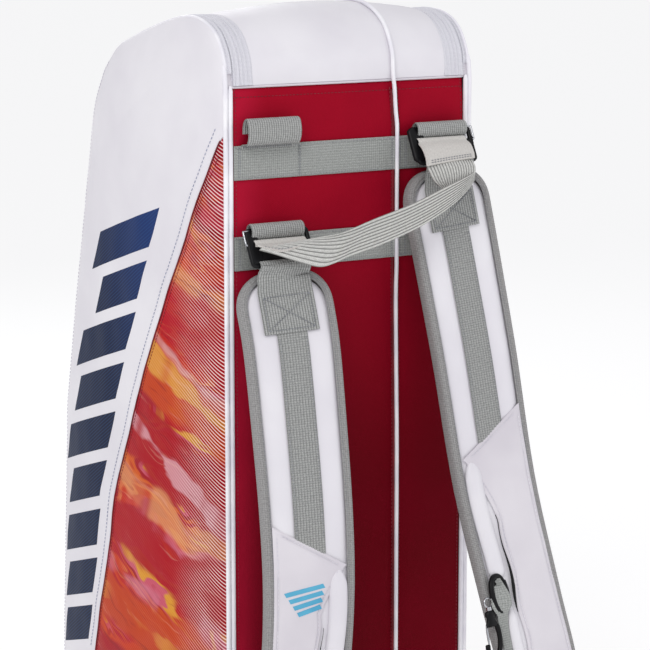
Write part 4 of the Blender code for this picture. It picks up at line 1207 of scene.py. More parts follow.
# ---------------------------------------------------------------- rings
def snap_ring(side, outer, latch_x, latch_half, plate_and_shadow_end):
    """Rectangular ring with a cross bar and a wire gate; outer is the sign of its gate side."""
    top = RING_TOPS[side]
    half, corner = RING_HALF, 0.0026

    def at(x, down):
        return top + vec(x, 0, 0) + HANG * down

    piece = Piece()
    x, low = half - corner, RING_LENGTH - corner
    loop = rounded_loop(top, X_AXIS, HANG, ((x, corner), (x, low), (-x, low), (-x, corner)),
                        -90, (corner, corner), 0.0015)
    piece.cord(loop, 0.0021, 12, closed=True, ref=RING_OUT)
    piece.cord([at(x, RING_MID) for x in np.linspace(-half, half, 12)], 0.0019, 12,
               ref=(0, 0, 1))
    # moulded shoulders where the cross bar meets the side bars
    for sign, _ in SIDES:
        shoulder = [at(sign * half, RING_MID + d) for d in (-0.0035, -0.0022, 0.0022, 0.0035)]
        piece.cord(shoulder, 0.0023, 12, ref=X_AXIS)
    # moulded latch body along the left side bar
    line = [at(-half + latch_x, down) - RING_OUT * 0.0004
            for down in np.linspace(-0.0030, RING_LENGTH - 0.0005, 22)]
    part = np.linspace(0, 1, 22)
    scale = np.clip(1.0 - 0.55 * falloff(part, 0.12) - 0.5 * falloff(1 - part, 0.12), 0.3, 1.0)
    piece.sweep(line, X_AXIS, RING_OUT, oval(latch_half, 0.0029, 20, 0.6, 0.7), scale=scale)
    # black plate between the cross bar and the lower bar: partly the ring's moulded body, partly
    # a painted shadow under the handle
    xs = np.linspace(-half + 0.001, half * plate_and_shadow_end, 30)
    downs = np.linspace(RING_MID, RING_LENGTH - 0.0045, 8)
    plate_and_shadow = top + xs[:, None, None] * X_AXIS + downs[None, :, None] * HANG - RING_OUT * 0.0006
    piece.shell(plate_and_shadow + RING_OUT * 0.0012, plate_and_shadow - RING_OUT * 0.0012)
    # wire gate on the outer side
    gate_x = outer * (half + 0.0006)
    gate = [at(gate_x + outer * x, down) + RING_OUT * 0.0012 for x, down in (
        (-0.008, -0.0006), (0.0018, -0.0006), (0.0024, 0.0012), (0.0024, RING_MID - 0.002),
        (0.0012, RING_MID + 0.0002))]
    piece.cord(resample(spline(gate, 6), 0.0008), 0.00095, 8, 1, ref=RING_OUT, round_end=True)
    piece.make(f"snap_ring_{side}", f"{side}_ring", [BLACK, CHROME], "black_plastic",
               f"{side}_ring", angle=50)


# ---------------------------------------------------------------- carry handle
# (x, y, z) along the upper and lower edge, from the left ring to the right one
HANDLE_UPPER = [
    (-0.0665, -0.1970, 0.5569), (-0.0556, -0.2035, 0.5598), (-0.0419, -0.2080, 0.5634),
    (-0.0127, -0.2115, 0.5732), (0.0253, -0.2140, 0.5841), (0.0628, -0.2135, 0.5972),
    (0.0840, -0.2110, 0.6035), (0.0960, -0.2075, 0.6070)]
HANDLE_LOWER = [
    (-0.1130, -0.1835, 0.5500), (-0.1051, -0.1945, 0.5472), (-0.0856, -0.2050, 0.5399),
    (-0.0680, -0.2100, 0.5350), (-0.0540, -0.2115, 0.5372), (-0.0400, -0.2120, 0.5418),
    (-0.0054, -0.2125, 0.5500), (0.0340, -0.2145, 0.5631), (0.0634, -0.2135, 0.5765),
    (0.0850, -0.2105, 0.5895), (0.0965, -0.2070, 0.5990)]
# free edge of the left flap
FLAP_EDGE = [(-0.1128, -0.1815, 0.5530), (-0.1061, -0.1905, 0.5507), (-0.0985, -0.1990, 0.5494),
             (-0.0840, -0.2010, 0.5523), (-0.0665, -0.1982, 0.5578)]


def wrap(centre, radius, first, last):
    """Arc of points round a bar that runs along x, every 9 degrees."""
    return [(centre[0], centre[1] + radius * math.cos(a), centre[2] + radius * math.sin(a))
            for a in np.radians(np.arange(first, last + 1, 9))]


def ruled(piece, top, low, thick, ribs=0, depth=0.0, sag=0.0, steps=70, mat=0):
    """A ribbon between two edge lines; its ribs run from one end to the other."""
    top, low = (spread(spline(edge, 10), steps) for edge in (top, low))
    count = max(14, ribs * 6)
    part = np.linspace(0, 1, count + 1)
    centre = low[:, None] * (1 - part)[None, :, None] + top[:, None] * part[None, :, None]
    along = unit(np.gradient(centre, axis=0))
    normal = unit(np.cross(along, np.broadcast_to(unit(top - low)[:, None], along.shape)))
    if normal[..., 1].mean() > 0:
        normal = -normal
    centre = centre + normal * (sag * 4 * part * (1 - part))[None, :, None]
    half = thick / 2 - depth * (0.5 + 0.5 * np.cos(2 * math.pi * part * ribs)) ** 1.5
    edge = np.minimum(part, 1 - part) * np.linalg.norm(top - low, axis=1).mean()
    half = half * np.sqrt(np.clip(1 - (1 - np.clip(edge / 0.0009, 0, 1)) ** 2, 0.06, 1))
    uv = points(part * (ribs * 0.003 or 0.05), arc_length(centre.mean(1))[:, None])
    offset = normal * half[None, :, None]
    piece.shell(centre + offset, centre - offset, mat, mat, uv)
    return centre, normal


def left_flap(piece, sewing, bar):
    """Smooth flap from the cross bar to its free edge."""
    fold = [(bar[0] + x, bar[1], bar[2]) for x in np.linspace(-0.0265, 0.0265, 5)]
    top, low = spread(spline(fold, 8), 60), spread(spline(FLAP_EDGE, 8), 60)
    part = np.linspace(0, 1, 26)
    sheet = top[None] * (1 - part)[:, None, None] + low[None] * part[:, None, None]
    sheet[..., 2] += (0.0012 * np.sin(math.pi * part) + 0.0004 * np.sin(part * 9.0))[:, None]
    normal = unit(vec(0.12, -0.62, 0.78))
    uv = points(np.linspace(0, 0.048, 60), (part * 0.026)[:, None])
    piece.shell(sheet + normal * 0.0007, sheet - normal * 0.0006, uv=uv)
    sewing.stitches(sheet[-4, 6:-3] + normal * 0.0007, normal, 0.0028, 0.00045)
    sewing.stitches(sheet[-6, 20:44] + normal * 0.0007, normal, 0.0028, 0.00040)


def right_flap(piece, sewing, bar):
    """Smooth flap over a ribbed one that meets the handle."""
    centre, normal = ruled(
        piece, [(0.0588, bar[1], bar[2]), (0.0580, -0.1840, 0.6280),
                (0.0566, -0.1915, 0.6205), (0.0545, -0.1960, 0.6140)],
        [(0.1112, bar[1], bar[2]), (0.1100, -0.1840, 0.6300),
         (0.1084, -0.1915, 0.6238), (0.1064, -0.1960, 0.6185)],
        thick=0.0016, sag=0.0008, steps=26)
    for row in (-5, -3):
        line = centre[row, 1:-1] + normal[row, 1:-1] * 0.0008
        sewing.stitches(line, normal[row, 7], 0.0028, 0.00045)
    # thick bound edge on the left of the flap
    piece.cord(centre[:, -1], 0.0011, 8, ref=(0, 0, 1), round_end=True)
    ruled(piece, [(0.0560, -0.1925, 0.6128), (0.0572, -0.1965, 0.6060),
                  (0.0600, -0.1985, 0.6000), (0.0665, -0.2000, 0.5940)],
          [(0.1056, -0.1925, 0.6166), (0.1048, -0.1990, 0.6110),
           (0.1000, -0.2040, 0.6030), (0.0905, -0.2040, 0.5945)],
          thick=0.0024, ribs=17, depth=0.0007, sag=0.0030, steps=34, mat=1)


def handle_end(side, shift, flap, materials):
    """Webbing folded over the cross bar of a ring, with a flap sewn on top."""
    centre = RING_TOPS[side] + HANG * RING_MID + vec(shift, 0, 0)
    piece, sewing = Piece(), Piece()
    line = resample(wrap(centre, 0.0043, -75, 186), 0.0009)
    piece.strip(line, X_AXIS, 0.0262, 0.00125, 16, 0.00018)
    flap(piece, sewing, centre + vec(0, -0.0043, 0.0006))
    node = f"handle_{side}_end"
    piece.make(f"handle_fold_{side}", node, materials, "grey_webbing", node, angle=50)
    sewing.make(f"handle_fold_{side}_stitches", node, [THREAD_GREY], "grey_webbing",
                recalc=False)


def strap_fold(side):
    """Webbing folded over the lower bar of a ring."""
    centre = RING_TOPS[side] + HANG * RING_LENGTH
    line = wrap(centre, 0.0035, -60, 180)
    line.append((centre[0], centre[1] - 0.0038, centre[2] - 0.0045))
    piece = Piece()
    piece.strip(resample(line, 0.0009), X_AXIS, 0.0255, 0.00125, 20, 0.00030)
    piece.make(f"strap_fold_{side}", f"{side}_strap", [WEB_BOLD], "grey_webbing",
               f"{side}_strap_loop", angle=50)


def carry_handle():
    piece = Piece()
    ruled(piece, HANDLE_UPPER, HANDLE_LOWER, thick=0.0030, ribs=9, depth=0.0010, sag=0.0006,
          steps=120)
    piece.make("ribbed_handle", "grab_handle", [WEB_HANDLE], "grey_webbing", "grab_handle",
               angle=60)


# ---------------------------------------------------------------- shoulder straps
# (x, y, z) down the middle of each strap's outer face
LEFT_PATH = [(-0.086, -0.1738, 0.5292), (-0.086, -0.1840, 0.503), (-0.086, -0.1960, 0.465),
             (-0.086, -0.2070, 0.405), (-0.086, -0.2190, 0.325), (-0.086, -0.2240, 0.256),
             (-0.086, -0.2200, 0.190), (-0.087, -0.2100, 0.130), (-0.088, -0.1960, 0.080)]
RIGHT_PATH = [(0.088, -0.1738, 0.6087), (0.0895, -0.1790, 0.585), (0.0935, -0.1870, 0.545),
              (0.0970, -0.1950, 0.506), (0.103, -0.2090, 0.436), (0.112, -0.2280, 0.326),
              (0.121, -0.2570, 0.227), (0.1265, -0.2790, 0.160), (0.1285, -0.2840, 0.108)]


class Strap:
    """Places things by distance down the strap, distance across it towards +X, and
    height above its outer face. `inner` is the sign of the side that faces x = 0.
    """

    def __init__(self, side, path, yaw, inner):
        self.side, self.inner, self.body = side, inner, f"{side}_strap"
        self.line = spline(path, 6)
        self.marks = arc_length(self.line)
        self.length = float(self.marks[-1])
        lateral = vec(math.cos(yaw), -math.sin(yaw), 0)
        self.tangents = unit(np.gradient(self.line, axis=0))
        self.across = unit(lateral - self.tangents * (self.tangents @ lateral)[:, None])
        self.normals = np.cross(self.tangents, self.across)
        self.sewing = Piece()
        # centre of the ring and its directions: down the strap, out of it, to its inner side
        across = self.ring_across = inner * 0.0285
        face = self.at(DRING_S, across, 0)
        self.ring = self.at(DRING_S, across, 0.0030)
        self.down = unit(self.at(DRING_S + 0.01, across, 0) - self.at(DRING_S - 0.01, across, 0))
        self.out = unit(self.at(DRING_S, across, 0.01) - face)
        self.inward = unit(self.at(DRING_S, across + 0.01 * inner, 0) - face)

    def at(self, along, across, height):
        along, across, height = np.broadcast_arrays(*(np.asarray(v, float)
                                                      for v in (along, across, height)))
        inside = np.clip(along, 0, self.length)
        line, side, normal, tangent = (
            interp_rows(inside, self.marks, rows)
            for rows in (self.line, self.across, self.normals, self.tangents))
        return (line + side * across[..., None] + unit(normal) * height[..., None]
                + tangent * (along - inside)[..., None])

    def normal(self, along):
        return unit(interp_rows(along, self.marks, self.normals))

    def half_width(self, along):
        """Half width of the pad, which tapers slightly and is rounded at both ends."""
        along, head, foot = np.asarray(along, float), 0.036, 0.030

        def rounding(reach):
            return np.sqrt(np.maximum(0, 1 - np.clip(reach, 0, 1) ** 2.4))

        width = PAD_HALF - 0.0045 * np.clip(along / self.length, 0, 1)
        width = width * (rounding((head - along) / head) * 0.72 + 0.28)
        return width * (rounding((along - (self.length - foot)) / foot) * 0.65 + 0.35)

    def sew(self, line, height, pitch=0.0027, radius=0.0005, mat=1):
        """Stitches along a line of (along, across) pairs."""
        along, across = resample(line, 0.002).T
        self.sewing.stitches(self.at(along, across, height), self.normal(along), pitch,
                             radius, mat)


def read_points(mesh):
    flat = np.empty(len(mesh.vertices) * 3)
    mesh.vertices.foreach_get("co", flat)
    return flat.reshape(-1, 3)


def puff_cloth(ob, pins, cap):
    """Inflates a closed piece with a cloth simulation, moving no point further than cap.

    Pinned points stay sewn down.
    """
    last_frame = 20
    rest = read_points(ob.data)
    group = ob.vertex_groups.new(name="sewn")
    group.add([int(i) for i in np.nonzero(pins)[0]], 1.0, "REPLACE")
    modifier = ob.modifiers.new("cloth", "CLOTH")
    cloth = modifier.settings
    cloth.quality = 5
    cloth.mass = 0.25
    cloth.tension_stiffness = cloth.compression_stiffness = 12
    cloth.shear_stiffness = 6
    cloth.bending_stiffness = 0.6
    cloth.use_pressure = True
    cloth.uniform_pressure_force = 4.0
    cloth.effector_weights.gravity = 0.0
    cloth.vertex_group_mass = "sewn"
    modifier.point_cache.frame_start, modifier.point_cache.frame_end = 1, last_frame
    for frame in range(1, last_frame + 1):
        scene.frame_set(frame)
    evaluated = ob.evaluated_get(bpy.context.evaluated_depsgraph_get())
    shift = read_points(evaluated.to_mesh()) - rest
    evaluated.to_mesh_clear()
    ob.modifiers.remove(modifier)
    # coordinates that the solver lost stay where they were
    shift = np.where(np.isfinite(shift), shift, 0)
    length = np.linalg.norm(shift, axis=1, keepdims=True)
    shift = shift * np.minimum(1.0, cap / np.maximum(length, 1e-9))
    ob.data.vertices.foreach_set("co", (rest + shift).ravel())
    ob.data.update()
    scene.frame_set(1)


def strap_pad(strap):
    """Pad with two pillows beside the webbing and a mesh face quilted by two lines."""
    rows, cols, length = 132, 30, strap.length
    part = np.linspace(0, 1, rows)
    along = (PAD_INSET + (length - 2 * PAD_INSET) * part)[:, None]
    half = (strap.half_width(length * part) - PAD_INSET)[:, None]
    side = np.linspace(-1, 1, cols)[None]
    across = half * side
    along = np.repeat(along, cols, 1)
    off_centre = np.abs(across)
    flat = points(along, across, 0.0)
    roll = 1 - np.abs(side) ** 7
    room = np.maximum(half - 0.0145, 1e-4)
    pillow = 0.0012 * np.sin(np.pi * np.clip((off_centre - 0.0145) / room, 0, 1)) ** 0.8
    pillow = (np.where(half > 0.020, pillow, 0) * ease((along - 0.05) / 0.02)
              * ease((COVER_S + 0.01 - along) / 0.02))
    top = (-0.0030 * (1 - roll) + pillow
           + 0.00045 * noise_at(flat, 42.0, 3.0 + strap.inner) * roll
           * ease((off_centre - 0.014) / 0.01))
    bottom = (-PAD_T + 0.0030 * (1 - roll) - 0.0012 * np.sin(np.pi * (side + 1) / 2) * roll
              - 0.0005 * noise_at(flat, 40.0, 13.0 + strap.inner) * roll)
    bottom = bottom + 0.0012 * bell(off_centre - 0.016, 0.0016)
    piece = Piece()
    piece.shell(strap.at(along, across, top), strap.at(along, across, bottom), 0, 1,
                points(across, along))
    pad = piece.make(f"{strap.side}_pad", strap.body, [WHITE, SPACER], "white_pu",
                     f"{strap.side}_strap_pad")
    rim = np.zeros((rows, cols), bool)
    rim[:, [0, -1]] = True
    rim[[0, -1]] = True
    flat_top = (off_centre < 0.0150) | (along < 0.055) | (along > COVER_S - 0.022)
    quilting = np.abs(off_centre - 0.016) < 0.0016
    pins = np.concatenate([(rim | flat_top).ravel(), (rim | quilting).ravel()])
    puff_cloth(pad, pins, cap=0.0016)


# section of the binding: distance out from the rim of the pad, height above its outer face
BINDING_SECTION = np.array([
    (-0.0075, 0.0002), (-0.0070, 0.0011), (-0.0056, 0.0014), (-0.0052, 0.0010),
    (-0.0046, 0.0014), (-0.0030, 0.0015), (-0.0014, 0.0009), (-0.0003, -0.0008),
    (0.0, -0.0030), (0.0, -PAD_T + 0.0030), (-0.0003, -PAD_T + 0.0008),
    (-0.0014, -PAD_T - 0.0007), (-0.0030, -PAD_T - 0.0011), (-0.0062, -PAD_T - 0.0009),
    (-0.0068, -PAD_T - 0.0001), (-0.0040, -PAD_T + 0.0006), (-0.0018, -PAD_T + 0.002),
    (-0.0018, -0.002), (-0.0040, -0.0006)])


def strap_binding(strap):
    """Finely ribbed binding round the rim of the pad."""
    length = strap.length
    turn = np.linspace(0, math.pi / 2, 22)
    edge = np.concatenate([length * (1 - np.cos(turn)) * 0.08,
                           np.linspace(0.08 * length, 0.93 * length, 210)[1:],
                           length * (0.93 + 0.07 * np.sin(turn))[1:]])
    rim_along = np.concatenate([edge, edge[::-1]])
    rim_across = np.concatenate([strap.half_width(edge), -strap.half_width(edge[::-1])])
    marks = np.concatenate([[0], np.cumsum(np.hypot(np.diff(rim_along), np.diff(rim_across)))])
    count = int(marks[-1] / 0.00115)
    where = np.linspace(0, marks[-1], count, endpoint=False)
    along, across = np.interp(where, marks, rim_along), np.interp(where, marks, rim_across)
    # outward direction in the plane of the strap
    run_along = np.roll(along, -1) - np.roll(along, 1)
    run_across = np.roll(across, -1) - np.roll(across, 1)
    size = np.hypot(run_along, run_across)
    out_along, out_across = run_across / size, -run_along / size
    flip = np.sign(out_along * (along - length / 2) / length + out_across * across / PAD_HALF)
    out_along, out_across = out_along * flip, out_across * flip
    # every second ring stands out a little
    offset, height = (np.repeat(column[None], count, 0) for column in BINDING_SECTION.T)
    rib = (0.00016 * (np.arange(count) % 2))[:, None]
    offset[:, 7:11] += rib
    height[:, 1:7] += rib
    verts = strap.at(along[:, None] + out_along[:, None] * offset,
                     across[:, None] + out_across[:, None] * offset, height)
    girth = np.cumsum(np.hypot(np.diff(offset), np.diff(height)), 1)
    girth = np.concatenate([np.zeros((count, 1)), girth], 1)
    piece = Piece()
    piece.add(verts, tube_faces(count, len(BINDING_SECTION), True), 0,
              points(girth, where[:, None]))
    piece.make(f"{strap.side}_binding", strap.body, [BINDING], "grey_webbing",
               f"{strap.side}_strap_binding", angle=60)
    inset = 0.0064
    line = strap.at(along - out_along * inset, across - out_across * inset, 0.0013)[::2]
    strap.sewing.stitches(line, strap.normal(along[::2]), 0.0034, 0.00036)


def strap_tab(strap):
    """Tab from the ring down onto the pad, with a cross-stitched box."""
    bar = RING_TOPS[strap.side] + HANG * RING_LENGTH
    line = [bar + vec(0, -0.0036, 0.0010), bar + vec(0, -0.0044, -0.0020),
            strap.at(0.0060, 0.0, 0.0066), strap.at(0.0120, 0.0, 0.0044),
            strap.at(0.0160, 0.0, 0.0028)]
    flat = strap.at(np.linspace(0.0180, 0.0560, 22), 0.0, 0.0021)
    line = resample(np.concatenate([spline(line, 6), flat]), 0.0014)
    lateral = unit(strap.at(0.03, 0.001, 0.0) - strap.at(0.03, -0.001, 0.0))
    turn = ease(np.linspace(0, 1, len(line)) * 2.2)[:, None]
    piece = Piece()
    piece.strip(line, X_AXIS * (1 - turn) + lateral * turn, 0.0255, 0.0021, 20, 0.00034)
    piece.make(f"{strap.side}_tab", strap.body, [WEB_BOLD], "grey_webbing",
               f"{strap.side}_strap_tab", angle=50)
    half, top, low = 0.0215, 0.0235, 0.0530
    for start, end in (((top, -half), (top, half)), ((low, -half), (low, half)),
                       ((top, -half), (low, -half)), ((top, half), (low, half)),
                       ((top, -half), (low, half)), ((top, half), (low, -half))):
        strap.sew([start, end], height=0.0033)


def strap_webbing(strap):
    """Webbing down the middle of the pad."""
    along = np.linspace(0.0488, COVER_S + 0.008, 96)
    across = strap.at(along, 0.001, 0.0) - strap.at(along, -0.001, 0.0)
    piece = Piece()
    piece.strip(strap.at(along, 0.0, 0.00125), across, 0.0140, 0.0016, 10, 0.00030)
    piece.make(f"{strap.side}_webbing", strap.body, [WEB], "grey_webbing",
               f"{strap.side}_strap_webbing", angle=50)
    for side in (-0.0122, 0.0122):
        strap.sew([(0.060, side), (COVER_S - 0.006, side)], 0.0021, 0.0034, 0.00034)


def strap_cover(strap):
    """Lower cover with a slanted top edge and a scalloped inner edge, which is returned."""
    inner, low = strap.inner, strap.length - 0.040
    down = np.linspace(0, 7, 110)[:, None]
    part = np.linspace(0, 1, 26)[None]
    outer_edge = -inner * (strap.half_width(COVER_S) - 0.0072)
    bite = np.minimum(1.0, down / 2.0) ** 0.7
    inner_edge = inner * (0.0330 - 0.0240 * bite + 0.0030 * np.maximum(0.0, (down - 4) / 3.0))
    inner_edge = inner_edge + inner * 0.0011 * np.sin(down * 3.1) * np.minimum(1, down)
    start = COVER_S - 0.020 + 0.040 * part
    along = start + (low - start) * down / 7
    across = outer_edge + (inner_edge - outer_edge) * part
    rim = np.minimum(np.minimum(np.abs(across - outer_edge), np.abs(inner_edge - across)),
                     np.minimum(along - start, low - along))
    height = (0.0026 + 0.0009 * ease(rim / 0.006)
              + 0.0004 * noise_at(points(along, across, 0.0), 45.0, 5.0 + inner)
              - 0.0009 * bell(rim - 0.0034, 0.0011) - 0.0010 * falloff(rim, 0.0016))
    piece = Piece()
    piece.shell(strap.at(along, across, height), strap.at(along, across, 0.0012),
                uv=points(across, along))
    # the cover takes the darker white as painted shade
    piece.make(f"{strap.side}_cover", strap.body, [WHITE_SHADED], "white_pu",
               f"{strap.side}_strap_cover")
    inset, rows, cols = 0.0034, slice(4, -3), slice(3, -3)
    for line in (
            points(along[rows, 1], across[rows, 0] + np.sign(-outer_edge) * inset),
            points(along[rows, -2], across[rows, -1] - np.sign(inner_edge[rows, 0]) * inset),
            points(along[0, cols] + inset * 1.1, across[0, cols]),
            points(along[-1, cols] - inset, across[-1, cols])):
        strap.sew(line, 0.0029, 0.0036, 0.00040, mat=2)
    return along[:, -1], across[:, -1]


def cover_mark(strap):
    """Four small slanted bars on the cover."""
    piece = Piece()
    part, high = np.meshgrid(np.linspace(0, 1, 12), np.linspace(0, 1, 4))
    for i in range(4):
        along = COVER_S + 0.040 + 0.0062 * i + high * 0.0038 - part * 0.0060
        across = -0.026 + 0.004 * i + part * (0.036 - 0.0050 * i) + high * 0.002
        piece.shell(strap.at(along, across, 0.00375), strap.at(along, across, 0.0028))
    piece.make(f"{strap.side}_cover_mark", strap.body, [BLUE], "white_pu")


def strap_ring(strap):
    """Ring on the cover, flattened on its outer side, with two bars across it."""
    half_long, half_wide = 0.0165, 0.0095
    tilted = unit(strap.out * 0.35 + strap.inward)
    line = []
    for angle in np.linspace(0, 2 * math.pi, 60, endpoint=False):
        cos, sin = math.cos(angle), math.sin(angle)
        x = half_long * math.copysign(abs(cos) ** 0.8, cos)
        y = half_wide * math.copysign(abs(sin) ** (0.75 if sin < 0 else 1.0), sin)
        line.append(strap.ring + strap.out * 0.0022 + strap.down * x + tilted * y)
    piece = Piece()
    piece.cord(line, 0.0026, 12, closed=True, ref=strap.out)
    # thicker moulding on the outer side
    line = [strap.ring + strap.out * 0.0024 + strap.down * x
            - tilted * (0.0098 * (1 - (x / 0.019) ** 2) ** 0.5)
            for x in np.linspace(-0.0120, 0.0130, 14)]
    piece.cord(line, 0.0034, 12, ref=strap.out, round_end=True)
    for x in (-0.0135, -0.0100):
        half = half_wide * (1 - min(1.0, abs(x) / half_long) ** 2.4) ** 0.5
        line = [strap.ring + strap.out * 0.0022 + strap.down * x + tilted * y
                for y in np.linspace(-half, half, 8)]
        piece.cord(line, 0.0021, 10, ref=strap.out)
    node = f"{strap.side}_strap_dring"
    piece.make(f"{strap.side}_d_ring", node, [BLACK], "black_plastic", node, angle=60)


# the tape below the ring: distance below it, shift to the outer side, height
TAPE_TAIL = ((0.0020, 0.0012, 0.0090), (0.0120, 0.0024, 0.0090), (0.0200, 0.0026, 0.0070),
             (0.0300, 0.0026, 0.0040), (0.0500, 0.0026, 0.0018), (0.0900, 0.0026, 0.0013))


def ring_tape(strap):
    """Tape that turns round the top of the ring and runs down beside the cover."""
    radius = 0.0030
    centre = strap.ring + strap.out * 0.0026 - strap.down * 0.0100
    line = [strap.at(DRING_S - above, strap.ring_across, height)
            for above, height in ((0.0155, 0.0012), (0.014, 0.0022))]
    line += [centre + strap.out * (radius * math.sin(a))
             - strap.down * (radius * math.cos(a) + 0.0004)
             for a in np.radians(np.linspace(200, 20, 14))]
    line += [strap.at(DRING_S + below, strap.ring_across + strap.inner * shift, height)
             for below, shift, height in TAPE_TAIL]
    line = resample(spline(line, 6), 0.0009)
    widths = np.interp(
        np.linspace(0, 1, len(line)), [0, 0.08, 0.13, 0.20, 0.29, 0.36, 0.42, 0.60, 1],
        [0.0020, 0.0022, 0.0026, 0.0062, 0.0104, 0.0108, 0.0058, 0.0046, 0.0042])
    section = rib_section(1.0, 0.0012, 6, 0.00022, edge=0.06)
    piece = Piece()
    piece.sweep(line, *fixed_frames(line, strap.inward), stretched(section, widths, 1.0),
                ribs=6)
    piece.make(f"{strap.side}_ring_tape", strap.body, [WEB_BAND], "grey_webbing", angle=50)


def rolled_edge(strap):
    """Rolls of padding between the cover and the binding, above and below the ring."""
    piece = Piece()
    part = np.linspace(0, 1, 60)
    taper = 1 - 0.75 * falloff(part, 0.16) - 0.35 * falloff(1 - part, 0.06)
    # start and end along the strap, start and end across it, half width, half height
    for start, end, start_side, end_side, half_width, half_height in (
            (COVER_S + 0.022, DRING_S - 0.0150, 0.0240, 0.0240, 0.0088, 0.0052),
            (DRING_S + 0.0140, strap.length - 0.030, 0.0185, 0.0205, 0.0060, 0.0046)):
        side = start_side + (end_side - start_side) * part + 0.0012 * np.sin(part * 5)
        line = strap.at(start + (end - start) * part, strap.inner * side, 0.0006)
        piece.sweep(line, *frames(line, strap.inward), oval(half_width, half_height, 18),
                    scale=taper)
    piece.make(f"{strap.side}_rolled_edge", strap.body, [WHITE], "white_pu", angle=60)


def painted_cover_shadow(strap, edge_along, edge_across):
    """Black sheet under the free edge of the cover: a painted shadow in the gap there."""
    part = np.linspace(0, 1, 40)
    along = COVER_S + 0.075 + (DRING_S - COVER_S - 0.055) * part
    across = np.interp(along, edge_along, edge_across) + strap.inner * 0.0014
    widths = 0.0002 + 0.0026 * part ** 1.6 * np.clip((1 - part) / 0.25, 0, 1)
    diamond = vec((-1.0, 0.0), (0.0, 0.0006), (1.0, 0.0), (0.0, -0.0006))
    piece = Piece()
    piece.sweep(strap.at(along, across, 0.0028), strap.inward, strap.out,
                stretched(diamond, widths, 1.0))
    # the black plastic material serves here as painted shadow, not as a real part
    piece.make(f"{strap.side}_painted_cover_shadow", strap.body, [BLACK], "black_plastic", angle=60)


# stations of the hook: distance down, half width, half height
SWIVEL = ((0.0040, 0.0016, 0.0016), (0.0048, 0.0027, 0.0027), (0.0080, 0.0027, 0.0027),
          (0.0086, 0.0019, 0.0019))
HOOK_BODY = ((0.0084, 0.0034, 0.0026), (0.0092, 0.0050, 0.0030), (0.0125, 0.0052, 0.0031),
             (0.0140, 0.0040, 0.0026), (0.0165, 0.0044, 0.0024), (0.0200, 0.0062, 0.0024),
             (0.0225, 0.0066, 0.0023))
# line of the hook: distance down, distance to the inner side
HOOK_LINE = ((0.0215, -0.0052), (0.030, -0.0066), (0.040, -0.0060), (0.0475, -0.0028),
             (0.0500, 0.0010), (0.0478, 0.0052), (0.0420, 0.0072), (0.0370, 0.0070))


def snap_hook(strap):
    """Snap hook below the ring: a chrome eye and barrel, a black hook and a wire gate."""
    top = strap.ring + strap.inward * 0.0140 + strap.down * 0.0035 + strap.out * 0.0034

    def at(down, inward=0.0):
        # the hook leans to the inner side on its way down
        return top + strap.down * down + strap.inward * (inward + 0.0050 * down / 0.052)

    piece = Piece()
    radius = 0.0042
    eye = [top + strap.down * (0.001 + radius * math.cos(a))
           + strap.inward * (radius * math.sin(a))
           for a in np.linspace(0, 2 * math.pi, 26, endpoint=False)]
    piece.cord(eye, 0.00095, 8, 1, closed=True, ref=strap.out)
    for table, mat in ((SWIVEL, 1), (HOOK_BODY, 0)):
        down, widths, heights = np.array(table).T
        piece.sweep([at(d) for d in down], strap.inward, strap.out,
                    stretched(oval(1, 1, 12), widths, heights), mat)
    hook = resample(spline([at(*pair) for pair in HOOK_LINE], 6), 0.0010)
    piece.cord(hook, 0.0023, 12, ref=strap.out, round_end=True)
    gate = [at(down, 0.0056) for down in (0.0205, 0.026, 0.032, 0.0385)]
    piece.cord(gate, 0.00115, 10, 1, ref=strap.out, round_end=True)
    piece.make(f"{strap.side}_snap", f"{strap.side}_snap_hook", [BLACK, CHROME],
               "black_plastic", f"{strap.side}_snap_hook", angle=50)


def lower_webbing(strap):
    """Webbing from the foot of the pad to a tab on the bag, with a ladder on it."""
    side, length = strap.side, strap.length
    foot_run = unit(strap.at(length, 0, 0) - strap.at(length - 0.02, 0, 0))
    start = strap.at(length, 0.0, -PAD_T / 2) + foot_run * 0.0050
    anchor_x = -strap.inner * 0.098
    end = vec(anchor_x, BACK_Y - 0.0140, 0.0340)
    run = unit(end - start)
    lateral = unit(X_AXIS - run * run[0])
    normal = np.cross(run, lateral)
    end = end - run * 0.004
    line = start + (end - start) * np.linspace(0, 1, 50)[:, None]
    piece = Piece()
    piece.sweep(line, lateral, normal, rib_section(0.0125, 0.0015, 11, 0.00028))
    # doubled part above the ladder
    piece.sweep(line[6:22] + normal * 0.0016, lateral, normal,
                rib_section(0.0122, 0.0010, 11, 0.0002))
    node = f"{side}_lower_webbing"
    piece.make(f"{side}_lower_strap", node, [WEB], "grey_webbing", node, angle=50)

    centre = start + (end - start) * 0.45
    x, y = 0.0152, 0.0085
    rim = rounded_loop(centre, lateral, run, ((x, y), (-x, y), (-x, -y), (x, -y)), 0,
                       (0.0016, 0.0014), 0.0012)
    piece = Piece()
    piece.sweep(rim, *frames(rim, normal, True), oval(0.0037, 0.0018, 10), closed=True)
    for offset in (-0.0030, 0.0030):
        bar = centre + run * offset + normal * 0.0031
        piece.cord([bar + lateral * x for x in np.linspace(-0.0150, 0.0150, 10)], 0.0011, 8,
                   ref=normal)
    node = f"{side}_adjuster"
    piece.make(f"{side}_ladder", node, [BLACK], "black_plastic", node, angle=50)

    piece = Piece()
    line = resample([(anchor_x, BACK_Y - 0.0006, 0.0248), (anchor_x, BACK_Y - 0.0108, 0.0248)],
                    0.001)
    piece.strip(line, X_AXIS, 0.0123, 0.0022, 11, 0.0003)
    piece.make(f"{side}_corner_tab", "bag", [WEB], "grey_webbing", f"{side}_anchor_tab",
               angle=50)


